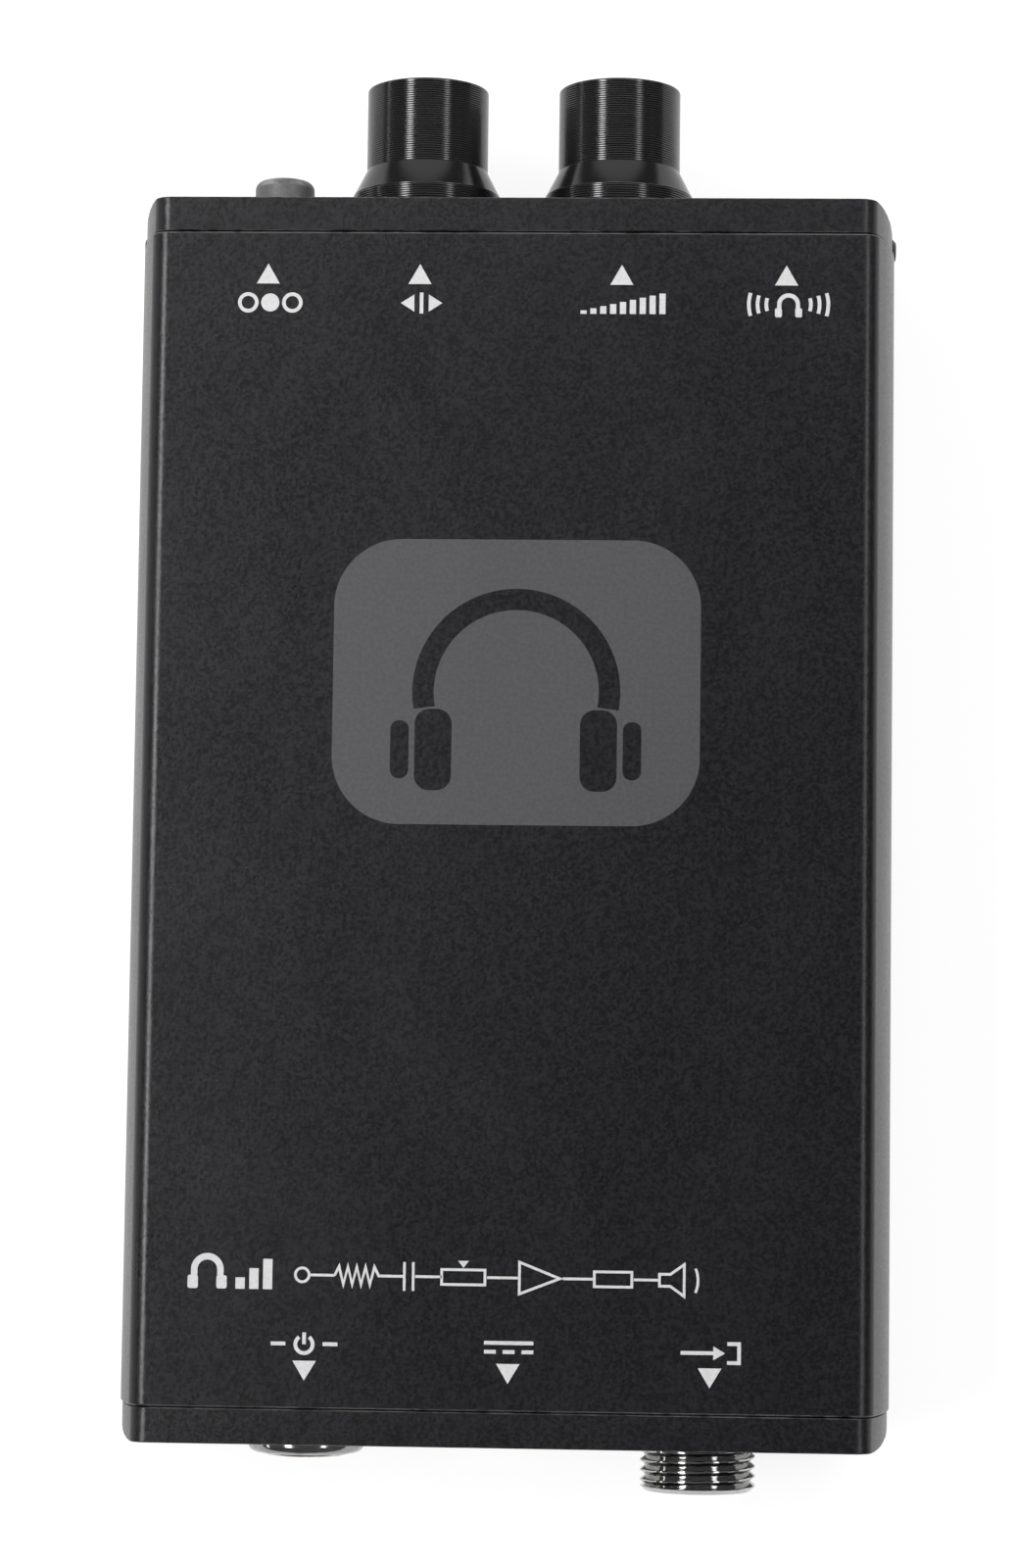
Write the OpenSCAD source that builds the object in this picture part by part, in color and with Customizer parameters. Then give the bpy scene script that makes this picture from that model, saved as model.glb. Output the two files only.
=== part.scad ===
// Pocket headphone amplifier: two end caps, two covers, controls, sockets, board and a 9 V battery.
// Origin: centre of the flat underside. +X right, +Y towards the knobs, +Z up through the top face.

/* [Case] */
// Width of the case across its bowed sides
case_w = 80; // [76:0.5:100]
// Height of the case from the underside to the top face
case_h = 26; // [25.5:0.5:34]
// Length of the case with both end caps
case_len = 128.6; // [122:0.1:180]
// Radius of the bowed sides in cross-section
side_r = 33.6; // [30:0.1:34.5]
// Radius of the four long edges
edge_r = 2; // [1:0.1:3]
// Wall thickness of the two covers
wall = 1.6; // [1.4:0.1:2.2]
// Height of the seam between the covers, below the top face
split_drop = 11; // [9:0.5:12]
// Depth of each end cap along the case
cap_depth = 3.6; // [3.2:0.1:5]
// How much narrower an end cap is than the covers, each side
cap_narrow = 0.2; // [0:0.05:0.4]
// Plan radius of an end cap's upright corners
cap_corner_r = 2.4; // [1:0.1:3]

/* [Knobs] */
// Place of the pan knob across the case
pan_x = -10; // [-11:0.1:-9]
// Place of the volume knob across the case
volume_x = 10.6; // [9:0.1:12]
// Radius of a knob's grip
knob_r = 6.5; // [6.2:0.1:8]
// Radius of a knob's skirt
skirt_r = 7.9; // [7.8:0.1:9]
// Length of a knob
knob_len = 14; // [12:0.5:18]
// Length of the straight part of the skirt
skirt_len = 2.4; // [2:0.1:3]
// Length of the cone between skirt and grip
cone_len = 2.7; // [2:0.1:4]
// Gap between the skirt and the end cap
knob_gap = 0.5; // [0.3:0.1:1]
// Radius of the shafts
shaft_r = 3; // [2.5:0.1:3.2]

/* [Buttons] */
// Place of the mono button across the case
mono_x = -25.3; // [-26.5:0.1:-24]
// Radius of the mono button
mono_r = 3.175; // [2.8:0.025:4]
// How far the mono button stands out
mono_out = 4.6; // [3:0.1:6]
// Travel of the mono button
mono_travel = 2; // [1:0.1:2.4]
// Place of the power button across the case
power_x = -20.7; // [-22:0.1:-19]
// Radius of the power button
power_r = 4.3; // [3.5:0.1:4.6]
// Radius of the metal bezel round the power button
bezel_r = 6.1; // [5.8:0.1:7]
// How far the bezel stands out
bezel_out = 1.7; // [1:0.1:2]
// Travel of the power button
power_travel = 1.2; // [0.6:0.1:1.6]

/* [Sockets] */
// Place of the headphone socket across the case
phones_x = 27.9; // [25.5:0.1:28.5]
// Radius of the headphone socket's bore
phones_r = 1.8; // [1.75:0.05:1.9]
// Depth of the headphone socket's bore
phones_depth = 14.5; // [12:0.5:16]
// Place of the mains adapter socket across the case
dc_x = 0.8; // [-3:0.1:5]
// Radius of the mains adapter socket's bore
dc_bore_r = 3.15; // [2.75:0.05:3.2]
// Radius of the pin in the mains adapter socket
dc_pin_r = 1; // [0.8:0.05:1.25]
// Place of the input connector across the case
input_x = 20.2; // [18:0.1:22]
// Radius over the input connector's thread
thread_r = 6; // [5.8:0.1:7]
// How far the input connector stands out
thread_out = 5; // [4:0.1:8]
// Length of the plain neck between the input connector's thread and the end cap
neck_out = 0.7; // [0.4:0.1:1.5]
// Radius of the input connector's mouth
input_bore_r = 4.7; // [4.6:0.1:4.9]

/* [Battery] */
// Length of the battery's body
battery_len = 46.4; // [45:0.1:48]
// Width of the battery
battery_w = 26.5; // [25:0.1:27]
// Thickness of the battery
battery_t = 17.5; // [15:0.1:17.5]
// Thickness of the battery door
door_t = 1.8; // [1.6:0.1:2]

/* [Fits] */
// Clearance between shaft and bushing, on the radius
shaft_fit = 0.05; // [0.02:0.01:0.1]
// Clearance round the buttons, on the radius
button_fit = 0.1; // [0.05:0.01:0.3]
// Clearance round the battery door's rails
door_fit = 0.15; // [0.1:0.01:0.3]
// Clearance between pieces that are screwed together
seat_fit = 0.05; // [0.02:0.01:0.1]
// Gap of the seams that show on the outside
seam_gap = 0.1; // [0.05:0.01:0.2]

/* [Hidden] */
$fn = 64;
hair = 0.01;
reach = 100;

axis_z = case_h / 2;
end_y = case_len / 2;
seam_y = end_y - cap_depth;
split_z = case_h - split_drop;
side_centre = case_w / 2 - side_r;

// Covers and caps
lip_h = 1.5;
lip_len = 3;
lip_t = 1.2;
lip_half = case_w / 2 - 8;
cap_wall = 1.8;
cap_skirt = 1.4;
plate_y = end_y - cap_wall;
boss_r = 2.6;
boss_x = case_w / 2 - 6;
boss_z = 6.2;
boss_y = seam_y - 3.5;
boss_len = 9;
cap_screw_r = 1.25;
cap_screw_len = 10;
cap_screw_head_r = 2.35;
cap_screw_head_h = 1.3;

// Side screws and the ears that they hold
ear_t = 1.8;
ear_half = 1.8;
ear_len = 5;
ear_rise = 8;
ear_x = case_w / 2 - cap_narrow - cap_skirt - ear_t - 0.2;
side_screw_y = seam_y + 0.9;
side_screw_r = 0.75;
side_head_r = 1.3;
side_head_h = 0.7;
side_head_out = 0.2;

// Board
board_t = 1.6;
pot_axis_h = 6.5;
board_top = axis_z - pot_axis_h;
board_bottom = board_top - board_t;
board_half_w = case_w / 2 - 4;
board_half_len = seam_y - 3.7;
notch_w = board_half_w - boss_x + boss_r + 0.6;
notch_len = board_half_len - boss_y + boss_len + 0.5;
post_r = 2.5;
post_x = case_w / 2 - 8.5;
post_y = seam_y - 17.2;
board_screw_r = 1;
board_screw_head_r = 1.9;
board_screw_head_h = 1.3;

// Battery bay
door_sink = 0.2;
door_top = door_sink + door_t;
tongue = 2;
tongue_z = 1;
rail_h = door_top + 1.2;
snap_t = 3.2;
terminal_h = 2;
bay_fit = 0.3;
bay_half_len = (battery_len + snap_t + 3 * bay_fit) / 2;
bay_half_w = battery_w / 2 + bay_fit;
tray_wall = 1.2;
tray_flange = 2;
tray_bottom = rail_h + seat_fit;
battery_z = door_top + bay_fit;
bay_top = battery_z + battery_t + 0.4;
battery_y = -end_y + 33.2;
battery_x = -(snap_t + bay_fit) / 2;
lead_r = 0.5;
lead_z = battery_z + battery_t / 2 + 3.5;
bay_front = battery_y + bay_half_w;
bay_back = battery_y - bay_half_w;
door_end = bay_front + 0.9;
door_len = door_end + end_y;
door_travel = 46;

// Potentiometers
pot_w = 9.8;
pot_len = 6.8;
pot_rise = 5.4;
pot_front = plate_y - seat_fit;
bushing_r = shaft_r + 0.5;
bushing_out = 3.1;
shaft_back = pot_front - 4;
knob_y = end_y + knob_gap;
knob_tip = knob_y + knob_len;
shaft_tip = knob_tip - 1.6;
washer_t = 0.4;
washer_r = bushing_r + 1.9;
nut_t = 2;
nut_r = bushing_r + 2.2;

// Mono switch
mono_flange_t = 1.2;
mono_flange_r = mono_r + 0.7;
mono_flange_y = plate_y - seat_fit - mono_flange_t;
mono_round = 0.9;
mono_switch_w = 8.5;
mono_switch_front = mono_flange_y - mono_travel - 0.4;
mono_switch_len = 11;
plunger_w = 2.8;
plunger_in = 3;

// Power switch
barrel_r = power_r + button_fit + 0.7;
bezel_back = end_y - 7;
power_out = 0.3;
power_front_y = -end_y - bezel_out - power_out;
power_cap_t = 2.2;
power_stem_r = 1.5;
power_nut_r = barrel_r + 2.5;
power_nut_t = 2.2;
power_body_len = 7;

// Sockets
phones_nose_r = phones_r + 1.1;
phones_ring_r = phones_nose_r + 0.5;
phones_w = 2 * (phones_r + 1.2);
phones_h = 8;
phones_front = end_y - 0.3;
phones_base = plate_y - 0.4;
dc_nose_r = dc_bore_r + 0.75;
dc_w = 2 * dc_nose_r + 1.2;
dc_front = -(end_y - 0.2);
dc_len = 14;
dc_depth = 9.5;
shell_flange_r = thread_r + 1.2;
shell_flange_t = 1.5;
shell_tail = 6.5;
neck_r = thread_r - 0.45;
insert_front = -(end_y + 0.6);
insert_len = 10.5;
contact_r = 0.5;
contact_ring_r = 2.6;
contact_count = 5;

case_black = [0.07, 0.07, 0.075];
moulded_black = [0.05, 0.05, 0.05];
board_green = [0.05, 0.28, 0.14];

// ---------------------------------------------------------------- helpers

// Extrudes a cross-section, drawn with x across and y up, from y0 to y1 along the case
module along_y(y0, y1) {
    translate([0, y1, 0])
        rotate([90, 0, 0])
            linear_extrude(y1 - y0)
                children();
}

// Cylinder along the case, from y0 to y1
module rod_y(x, z, r, y0, y1, sides = 64) {
    translate([x, y1, z])
        rotate([90, 0, 0])
            cylinder(r = r, h = y1 - y0, $fn = sides);
}

// Box given by its low and high corners
module block(low, high) {
    translate(low)
        cube(high - low);
}

// Copies its children to both sides of the case
module both_sides() {
    for (side = [0, 1])
        mirror([side, 0, 0])
            children();
}

// What sticks out at a corner of the cross-section beyond its fillet
module barrel_corner(centre, half_h, arc_x, r) {
    tip = [sqrt(pow(centre, 2) - pow(half_h - r, 2)) + arc_x, half_h - r];
    out = [tip[0] - arc_x, tip[1]] / centre;
    difference() {
        polygon([tip, tip + [0, r + 1], tip + [r + 2, r + 1], tip + (r + 2) * out]);
        translate(tip)
            circle(r);
    }
}

// Cross-section of the case, set in from the outside: flat top and underside, bowed sides
module barrel(inset = 0, narrow = 0) {
    half_h = axis_z - inset;
    arc_r = side_r - inset;
    arc_x = side_centre - narrow;
    r = max(edge_r - inset, 0.3);
    translate([0, axis_z])
        difference() {
            intersection() {
                square([case_w * 2, half_h * 2], center = true);
                union() {
                    translate([arc_x, 0])
                        circle(arc_r, $fn = 180);
                    translate([-arc_x, 0])
                        circle(arc_r, $fn = 180);
                }
            }
            for (sx = [0, 1], sz = [0, 1])
                mirror([sx, 0])
                    mirror([0, sz])
                        barrel_corner(arc_r - r, half_h, arc_x, r);
        }
}

// Everything between two heights of the cross-section
module level(z0, z1) {
    translate([-reach, z0])
        square([2 * reach, z1 - z0]);
}

// Cross-section of the battery door; a gap makes it the slot that the door runs in, open below
module door_section(gap = 0) {
    half = bay_half_len + gap;
    low = gap > 0 ? -1 : door_sink;
    translate([-half, low])
        square([2 * half, door_top + gap - low]);
    translate([-half - tongue, tongue_z - gap])
        square([2 * (half + tongue), door_top - tongue_z + 2 * gap]);
}

// Ring between two insets of the cross-section
module barrel_ring(outer, inner, narrow = 0) {
    difference() {
        barrel(outer, narrow);
        barrel(inner, narrow);
    }
}

// ---------------------------------------------------------------- covers

// Ear inside the upper cover that a side screw runs into
module ear() {
    block([ear_x, seam_y - ear_len, axis_z - ear_half],
          [ear_x + ear_t, seam_y - seam_gap, axis_z + ear_rise]);
    block([ear_x, seam_y - ear_len, axis_z - ear_half],
          [ear_x + ear_t, seam_y + 1.6, axis_z + ear_half]);
}

// A cylinder on the axis of the right-hand side screw
module side_rod(r, x0, x1) {
    translate([x0, side_screw_y, axis_z])
        rotate([0, 90, 0])
            cylinder(r = r, h = x1 - x0);
}

module side_screw_cuts() {
    side_rod(side_head_r + 0.1, case_w / 2 + side_head_out - side_head_h - seat_fit, case_w);
    side_rod(side_screw_r + seat_fit, ear_x - 1, case_w);
}

module upper_cover() {
    color(case_black)
        difference() {
            union() {
                along_y(-seam_y + seam_gap, seam_y - seam_gap)
                    difference() {
                        intersection() {
                            barrel_ring(0, wall);
                            level(split_z + seam_gap / 2, case_h);
                        }
                        intersection() {
                            barrel(wall / 2);
                            level(0, split_z + lip_h + seam_gap);
                        }
                    }
                both_sides()
                    ear();
            }
            both_sides()
                side_screw_cuts();
        }
}

// Boss in a corner of the lower cover for an end cap's screw
module corner_boss() {
    difference() {
        union() {
            rod_y(boss_x, boss_z, boss_r, boss_y - boss_len, boss_y);
            block([boss_x - boss_r, boss_y - boss_len, wall / 2], [boss_x + boss_r, boss_y, boss_z]);
        }
        rod_y(boss_x, boss_z, cap_screw_r, boss_y - boss_len - 1, boss_y + 1);
    }
}

// Post under the board
module board_post() {
    translate([post_x, post_y, wall / 2])
        difference() {
            cylinder(r = post_r, h = board_bottom - seat_fit - wall / 2);
            translate([0, 0, wall / 2])
                cylinder(r = board_screw_r, h = board_bottom);
        }
}

module lower_cover() {
    color(case_black)
        difference() {
            union() {
                along_y(-seam_y + seam_gap, seam_y - seam_gap)
                    intersection() {
                        barrel_ring(0, wall);
                        level(0, split_z - seam_gap / 2);
                    }
                along_y(-seam_y + ear_len + 1, seam_y - ear_len - 1)
                    intersection() {
                        barrel_ring(wall / 2 + seat_fit, wall);
                        level(split_z - 1, split_z + lip_h);
                    }
                along_y(-seam_y + seam_gap, door_end + 1.5)
                    translate([-bay_half_len - tongue - 1.8, wall / 2])
                        square([2 * (bay_half_len + tongue + 1.8), rail_h - wall / 2]);
                for (side = [0, 1], end = [0, 1])
                    mirror([side, 0, 0])
                        mirror([0, end, 0]) {
                            corner_boss();
                            board_post();
                        }
            }
            along_y(-reach, door_end + door_fit)
                door_section(door_fit);
            block([-bay_half_len, bay_back, -1], [bay_half_len, bay_front, rail_h + 1]);
            both_sides()
                side_screw_cuts();
        }
}

// ---------------------------------------------------------------- end caps

// An end cap at the knob end, without its openings; sill false leaves out the lip along the bottom
module cap_blank(sill = true) {
    difference() {
        union() {
            along_y(seam_y, plate_y + hair)
                barrel_ring(0, cap_skirt, cap_narrow);
            along_y(plate_y, end_y)
                barrel(0, cap_narrow);
            along_y(seam_y - lip_len, plate_y + hair)
                intersection() {
                    barrel_ring(wall + seat_fit, wall + seat_fit + lip_t);
                    translate([-lip_half, sill ? 0 : axis_z])
                        square([2 * lip_half, case_h]);
                }
            both_sides()
                rod_y(boss_x, boss_z, boss_r, boss_y + seat_fit, plate_y + hair);
        }
        both_sides() {
            difference() {
                block([case_w / 2 - cap_narrow - cap_corner_r, end_y - cap_corner_r, -1],
                      [case_w / 2 + 1, end_y + 1, case_h + 1]);
                translate([case_w / 2 - cap_narrow - cap_corner_r, end_y - cap_corner_r, -2])
                    cylinder(r = cap_corner_r, h = case_h + 4);
            }
            rod_y(boss_x, boss_z, cap_screw_r + seat_fit, boss_y - 1, end_y + 1);
            rod_y(boss_x, boss_z, cap_screw_head_r + seat_fit,
                  end_y - cap_screw_head_h - seat_fit, end_y + 1);
        }
    }
}

module knob_end_cap() {
    color(moulded_black)
        difference() {
            cap_blank();
            both_sides()
                side_screw_cuts();
            for (x = [pan_x, volume_x])
                rod_y(x, axis_z, bushing_r + seat_fit, plate_y - 1, end_y + 1);
            rod_y(mono_x, axis_z, mono_r + button_fit, plate_y - 1, end_y + 1);
            rod_y(phones_x, axis_z, phones_ring_r + seat_fit, plate_y - 1, end_y + 1);
        }
}

module input_end_cap() {
    color(moulded_black)
        difference() {
            mirror([0, 1, 0])
                cap_blank(sill = false);
            rod_y(power_x, axis_z, barrel_r + seat_fit, -end_y - 1, -plate_y + 1);
            rod_y(dc_x, axis_z, dc_nose_r + seat_fit, -end_y - 1, -plate_y + 1);
            rod_y(input_x, axis_z, thread_r + seat_fit, -end_y - 1, -plate_y + 1);
            along_y(-reach, -seam_y + 1)
                door_section(door_fit);
        }
}

// Screw with a flat head, from its head's face at y = end_y inwards
module cap_screw() {
    rod_y(boss_x, boss_z, cap_screw_head_r, end_y - cap_screw_head_h, end_y - 0.05);
    rod_y(boss_x, boss_z, cap_screw_r - 0.02, end_y - cap_screw_len, end_y - cap_screw_head_h + hair);
}

module cap_screws() {
    color("dimgray")
        for (side = [0, 1], end = [0, 1])
            mirror([side, 0, 0])
                mirror([0, end, 0])
                    cap_screw();
}

module side_screws() {
    color("black")
        both_sides() {
            side_rod(side_head_r, case_w / 2 + side_head_out - side_head_h, case_w / 2 + side_head_out);
            side_rod(side_screw_r, ear_x + 0.1, case_w / 2 + side_head_out - side_head_h + hair);
        }
}

// ---------------------------------------------------------------- battery bay

module battery_door() {
    grip_count = 5;
    grip_pitch = 2.4;
    grip_r = 0.45;
    grip_len = 18;
    color(moulded_black)
        difference() {
            along_y(-end_y, door_end)
                door_section();
            for (i = [0 : grip_count - 1])
                translate([-grip_len / 2, -end_y + 4 + i * grip_pitch, door_sink])
                    rotate([0, 90, 0])
                        cylinder(r = grip_r, h = grip_len);
        }
}

module battery_tray() {
    outer_l = bay_half_len + tray_wall;
    outer_w = bay_half_w + tray_wall;
    flange_h = board_bottom - seat_fit - tray_bottom;
    color(moulded_black)
        difference() {
            union() {
                block([-outer_l, battery_y - outer_w, tray_bottom],
                      [outer_l, battery_y + outer_w, bay_top + tray_wall]);
                block([-outer_l - tray_flange, battery_y - outer_w - 0.8, tray_bottom],
                      [outer_l + tray_flange, battery_y + outer_w + 0.8, tray_bottom + flange_h]);
            }
            block([-bay_half_len, bay_back, 0], [bay_half_len, bay_front, bay_top]);
            block([0, battery_y - 3, lead_z - 3 * lead_r], [reach, battery_y + 3, lead_z + 3 * lead_r]);
        }
}

module battery() {
    x0 = battery_x - battery_len / 2;
    x1 = x0 + battery_len;
    color("goldenrod")
        union() {
            block([x0, battery_y - battery_w / 2, battery_z],
                  [x1, battery_y + battery_w / 2, battery_z + battery_t]);
            for (side = [-1, 1])
                translate([x1 - hair, battery_y + side * 6.35, battery_z + battery_t / 2])
                    rotate([0, 90, 0])
                        cylinder(r = 2.8, h = terminal_h);
        }
}

module battery_snap() {
    x0 = battery_x + battery_len / 2 + bay_fit;
    z = battery_z + battery_t / 2;
    color("black")
        difference() {
            block([x0, battery_y - 12, z - 5.5], [x0 + snap_t, battery_y + 12, z + 5.5]);
            for (side = [-1, 1])
                translate([x0 - 1, battery_y + side * 6.35, z])
                    rotate([0, 90, 0])
                        cylinder(r = 3, h = terminal_h - bay_fit + 1.2);
        }
}

// Lead from the snap out through the tray's wall and down to the board
module battery_lead(y) {
    bend = 1.5;
    x0 = battery_x + battery_len / 2 + bay_fit + snap_t;
    x1 = bay_half_len + tray_wall + 1;
    translate([x0, y, lead_z])
        rotate([0, 90, 0])
            cylinder(r = lead_r, h = x1 - x0);
    translate([x1, y, lead_z - bend])
        rotate([90, 0, 0])
            rotate_extrude(angle = 90)
                translate([bend, 0])
                    circle(lead_r, $fn = 24);
    translate([x1 + bend, y, board_top])
        cylinder(r = lead_r, h = lead_z - bend - board_top);
}

module battery_leads() {
    color("firebrick")
        for (side = [-1, 1])
            battery_lead(battery_y + side * 1.5);
}

// ---------------------------------------------------------------- board and its parts

module circuit_board() {
    window_x = bay_half_len + tray_wall + 0.5;
    window_y = bay_half_w + tray_wall + 0.5;
    color(board_green)
        difference() {
            block([-board_half_w, -board_half_len, board_bottom], [board_half_w, board_half_len, board_top]);
            block([-window_x, battery_y - window_y, 0], [window_x, battery_y + window_y, case_h]);
            for (side = [0, 1], end = [0, 1])
                mirror([side, 0, 0])
                    mirror([0, end, 0]) {
                        block([board_half_w - notch_w, board_half_len - notch_len, 0],
                              [board_half_w + 1, board_half_len + 1, case_h]);
                        translate([post_x, post_y, 0])
                            cylinder(r = board_screw_r + 0.15, h = case_h);
                    }
        }
}

module board_screws() {
    color("silver")
        for (side = [0, 1], end = [0, 1])
            mirror([side, 0, 0])
                mirror([0, end, 0])
                    translate([post_x, post_y, board_top]) {
                        cylinder(r = board_screw_head_r, h = board_screw_head_h);
                        translate([0, 0, hair - board_t - 1.5])
                            cylinder(r = board_screw_r - 0.02, h = board_t + 1.5);
                    }
}

// Stands a component on the board at a place across the case and a distance behind the knob end
module on_board(x, back) {
    translate([x, seam_y - back, board_top])
        children();
}

module op_amps() {
    color("black")
        for (x = [-16, 0, 16])
            on_board(x, 34)
                translate([-2, -2.5, 0])
                    cube([4, 5, 1.6]);
}

module electrolytic_capacitors() {
    color("midnightblue")
        for (x = [-24, -8, 8, 24], back = [44, 55])
            on_board(x, back)
                cylinder(r = 3.15, h = 7.7);
}

module film_capacitors() {
    color("crimson")
        for (x = [-17, -11, 11, 17])
            on_board(x, 24)
                translate([-1.25, -3.6, 0])
                    cube([2.5, 7.2, 6.5]);
}

module voltage_regulator() {
    color("black")
        on_board(0, 65)
            translate([-3.3, -3, 0])
                cube([6.6, 6, 2.3]);
}

module resistors() {
    color("tan")
        for (i = [-4 : 4])
            on_board(i * 3, 39)
                translate([-0.6, -1, 0])
                    cube([1.2, 2, 0.6]);
}

// ---------------------------------------------------------------- knobs and potentiometers

module pot(x) {
    color("slategray")
        difference() {
            union() {
                block([x - pot_w / 2, pot_front - pot_len, board_top],
                      [x + pot_w / 2, pot_front, axis_z + pot_rise]);
                rod_y(x, axis_z, bushing_r, pot_front - hair, end_y + bushing_out);
            }
            rod_y(x, axis_z, shaft_r + shaft_fit, shaft_back - 0.3, end_y + bushing_out + 1);
        }
}

module pan_pot()
    pot(pan_x);

module volume_pot()
    pot(volume_x);

module pot_washers() {
    color("silver")
        for (x = [pan_x, volume_x])
            difference() {
                rod_y(x, axis_z, washer_r, end_y, end_y + washer_t);
                rod_y(x, axis_z, bushing_r + seat_fit, end_y - 1, end_y + 1);
            }
}

module pot_nuts() {
    color("silver")
        for (x = [pan_x, volume_x])
            difference() {
                rod_y(x, axis_z, nut_r, end_y + washer_t, end_y + washer_t + nut_t, sides = 6);
                rod_y(x, axis_z, bushing_r + hair, end_y - 1, end_y + 5);
            }
}

module shaft(x) {
    color("lightgray")
        rod_y(x, axis_z, shaft_r, shaft_back, shaft_tip);
}

module pan_shaft()
    shaft(pan_x);

module volume_shaft()
    shaft(volume_x);

// White line let into a knob's face
module pointer(x, gap = 0) {
    half_w = 0.4 + gap;
    depth = 0.3 + gap;
    block([x - half_w, knob_tip - depth, axis_z + 2.2 - gap],
          [x + half_w, knob_tip + (gap > 0 ? 1 : 0), axis_z + knob_r - 0.9 + gap]);
}

module knob(x) {
    rim = 0.3;
    hollow_r = skirt_r - 1;
    color(moulded_black)
        difference() {
            translate([x, knob_y, axis_z])
                rotate([-90, 0, 0])
                    rotate_extrude($fn = 96)
                        polygon([
                            [shaft_r + hair, bushing_out + 0.6],
                            [hollow_r - 1, bushing_out + 0.6],
                            [hollow_r - 1, skirt_len],
                            [hollow_r, skirt_len - 0.4],
                            [hollow_r, 0],
                            [skirt_r, 0],
                            [skirt_r, skirt_len],
                            [knob_r, skirt_len + cone_len],
                            [knob_r, knob_len - rim],
                            [knob_r - rim, knob_len],
                            [0, knob_len],
                            [0, knob_len - 1.5],
                            [shaft_r + hair, knob_len - 1.5]
                        ]);
            pointer(x, gap = hair);
        }
}

module pan_knob()
    knob(pan_x);

module volume_knob()
    knob(volume_x);

module pan_pointer() {
    color("white")
        pointer(pan_x);
}

module volume_pointer() {
    color("white")
        pointer(volume_x);
}

// ---------------------------------------------------------------- mono button

module mono_button() {
    tip = end_y + mono_out;
    base = mono_flange_y;
    color("gray")
        difference() {
            translate([mono_x, base, axis_z])
                rotate([-90, 0, 0])
                    rotate_extrude() {
                        square([mono_flange_r, mono_flange_t]);
                        square([mono_r, tip - base - mono_round]);
                        square([mono_r - mono_round, tip - base]);
                        translate([mono_r - mono_round, tip - base - mono_round])
                            intersection() {
                                circle(mono_round);
                                square(mono_round);
                            }
                    }
            block([mono_x - plunger_w / 2, base - 1, axis_z - plunger_w / 2],
                  [mono_x + plunger_w / 2, base + plunger_in, axis_z + plunger_w / 2]);
        }
}

module mono_plunger() {
    half = plunger_w / 2 - hair;
    color("white")
        block([mono_x - half, mono_switch_front - 3, axis_z - half],
              [mono_x + half, mono_flange_y + plunger_in - hair, axis_z + half]);
}

module mono_switch() {
    half = plunger_w / 2 + 0.15;
    color("ivory")
        difference() {
            block([mono_x - mono_switch_w / 2, mono_switch_front - mono_switch_len, board_top],
                  [mono_x + mono_switch_w / 2, mono_switch_front, axis_z + mono_switch_w / 2]);
            block([mono_x - half, mono_switch_front - 3.3 - mono_travel, axis_z - half],
                  [mono_x + half, mono_switch_front + 1, axis_z + half]);
        }
}

// ---------------------------------------------------------------- power button

module power_bezel() {
    round_r = 0.9;
    color("gainsboro")
        translate([power_x, -end_y, axis_z])
            rotate([90, 0, 0])
                difference() {
                    union() {
                        rotate_extrude() {
                            square([bezel_r, bezel_out - round_r]);
                            square([bezel_r - round_r, bezel_out]);
                            translate([bezel_r - round_r, bezel_out - round_r])
                                intersection() {
                                    circle(round_r);
                                    square(round_r);
                                }
                        }
                        translate([0, 0, -end_y + bezel_back])
                            cylinder(r = barrel_r, h = end_y - bezel_back + hair);
                    }
                    translate([0, 0, -end_y + bezel_back + 1])
                        cylinder(r = power_r + button_fit, h = end_y);
                    translate([0, 0, -end_y])
                        cylinder(r = power_stem_r + button_fit, h = end_y);
                }
}

module power_nut() {
    color("silver")
        difference() {
            rod_y(power_x, axis_z, power_nut_r, -plate_y + seat_fit, -plate_y + power_nut_t, sides = 6);
            rod_y(power_x, axis_z, barrel_r + hair, -end_y, -plate_y + 4);
        }
}

module power_button() {
    color("silver")
        rod_y(power_x, axis_z, power_r, power_front_y, power_front_y + power_cap_t);
}

module power_stem() {
    color("white")
        rod_y(power_x, axis_z, power_stem_r, power_front_y + power_cap_t, -bezel_back + 1.2);
}

module power_switch() {
    body_y = -bezel_back + hair;
    color("black")
        difference() {
            block([power_x - 5.5, body_y, board_top], [power_x + 5.5, body_y + power_body_len, axis_z + 5.5]);
            rod_y(power_x, axis_z, power_stem_r + button_fit, body_y - 1, body_y + 3.2);
        }
}

// ---------------------------------------------------------------- sockets

module phones_jack() {
    color("black")
        difference() {
            union() {
                block([phones_x - phones_w / 2, phones_front - phones_depth - 1.5, board_top],
                      [phones_x + phones_w / 2, phones_base, axis_z + phones_h / 2]);
                rod_y(phones_x, axis_z, phones_nose_r, phones_base - hair, phones_front);
            }
            rod_y(phones_x, axis_z, phones_r, phones_front - phones_depth, phones_front + 1);
        }
}

module phones_collar() {
    color("silver")
        difference() {
            rod_y(phones_x, axis_z, phones_ring_r, phones_base + 0.05, phones_front);
            rod_y(phones_x, axis_z, phones_nose_r + seat_fit, phones_base - 1, phones_front + 1);
        }
}

module phones_contacts() {
    color("gold")
        for (i = [0 : 2], side = [0, 1])
            translate([phones_x + (side ? 1 : -1) * (phones_w / 2 + 0.2) - 0.15,
                       phones_base - 4 - i * 3.5, board_top])
                cube([0.3, 1.6, 5 + i]);
}

module dc_jack() {
    color("black")
        difference() {
            union() {
                block([dc_x - dc_w / 2, -plate_y + seat_fit, board_top],
                      [dc_x + dc_w / 2, dc_front + dc_len, axis_z + dc_w / 2]);
                rod_y(dc_x, axis_z, dc_nose_r, dc_front, -plate_y + seat_fit + hair);
            }
            rod_y(dc_x, axis_z, dc_bore_r, dc_front - 1, dc_front + dc_depth);
        }
}

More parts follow.
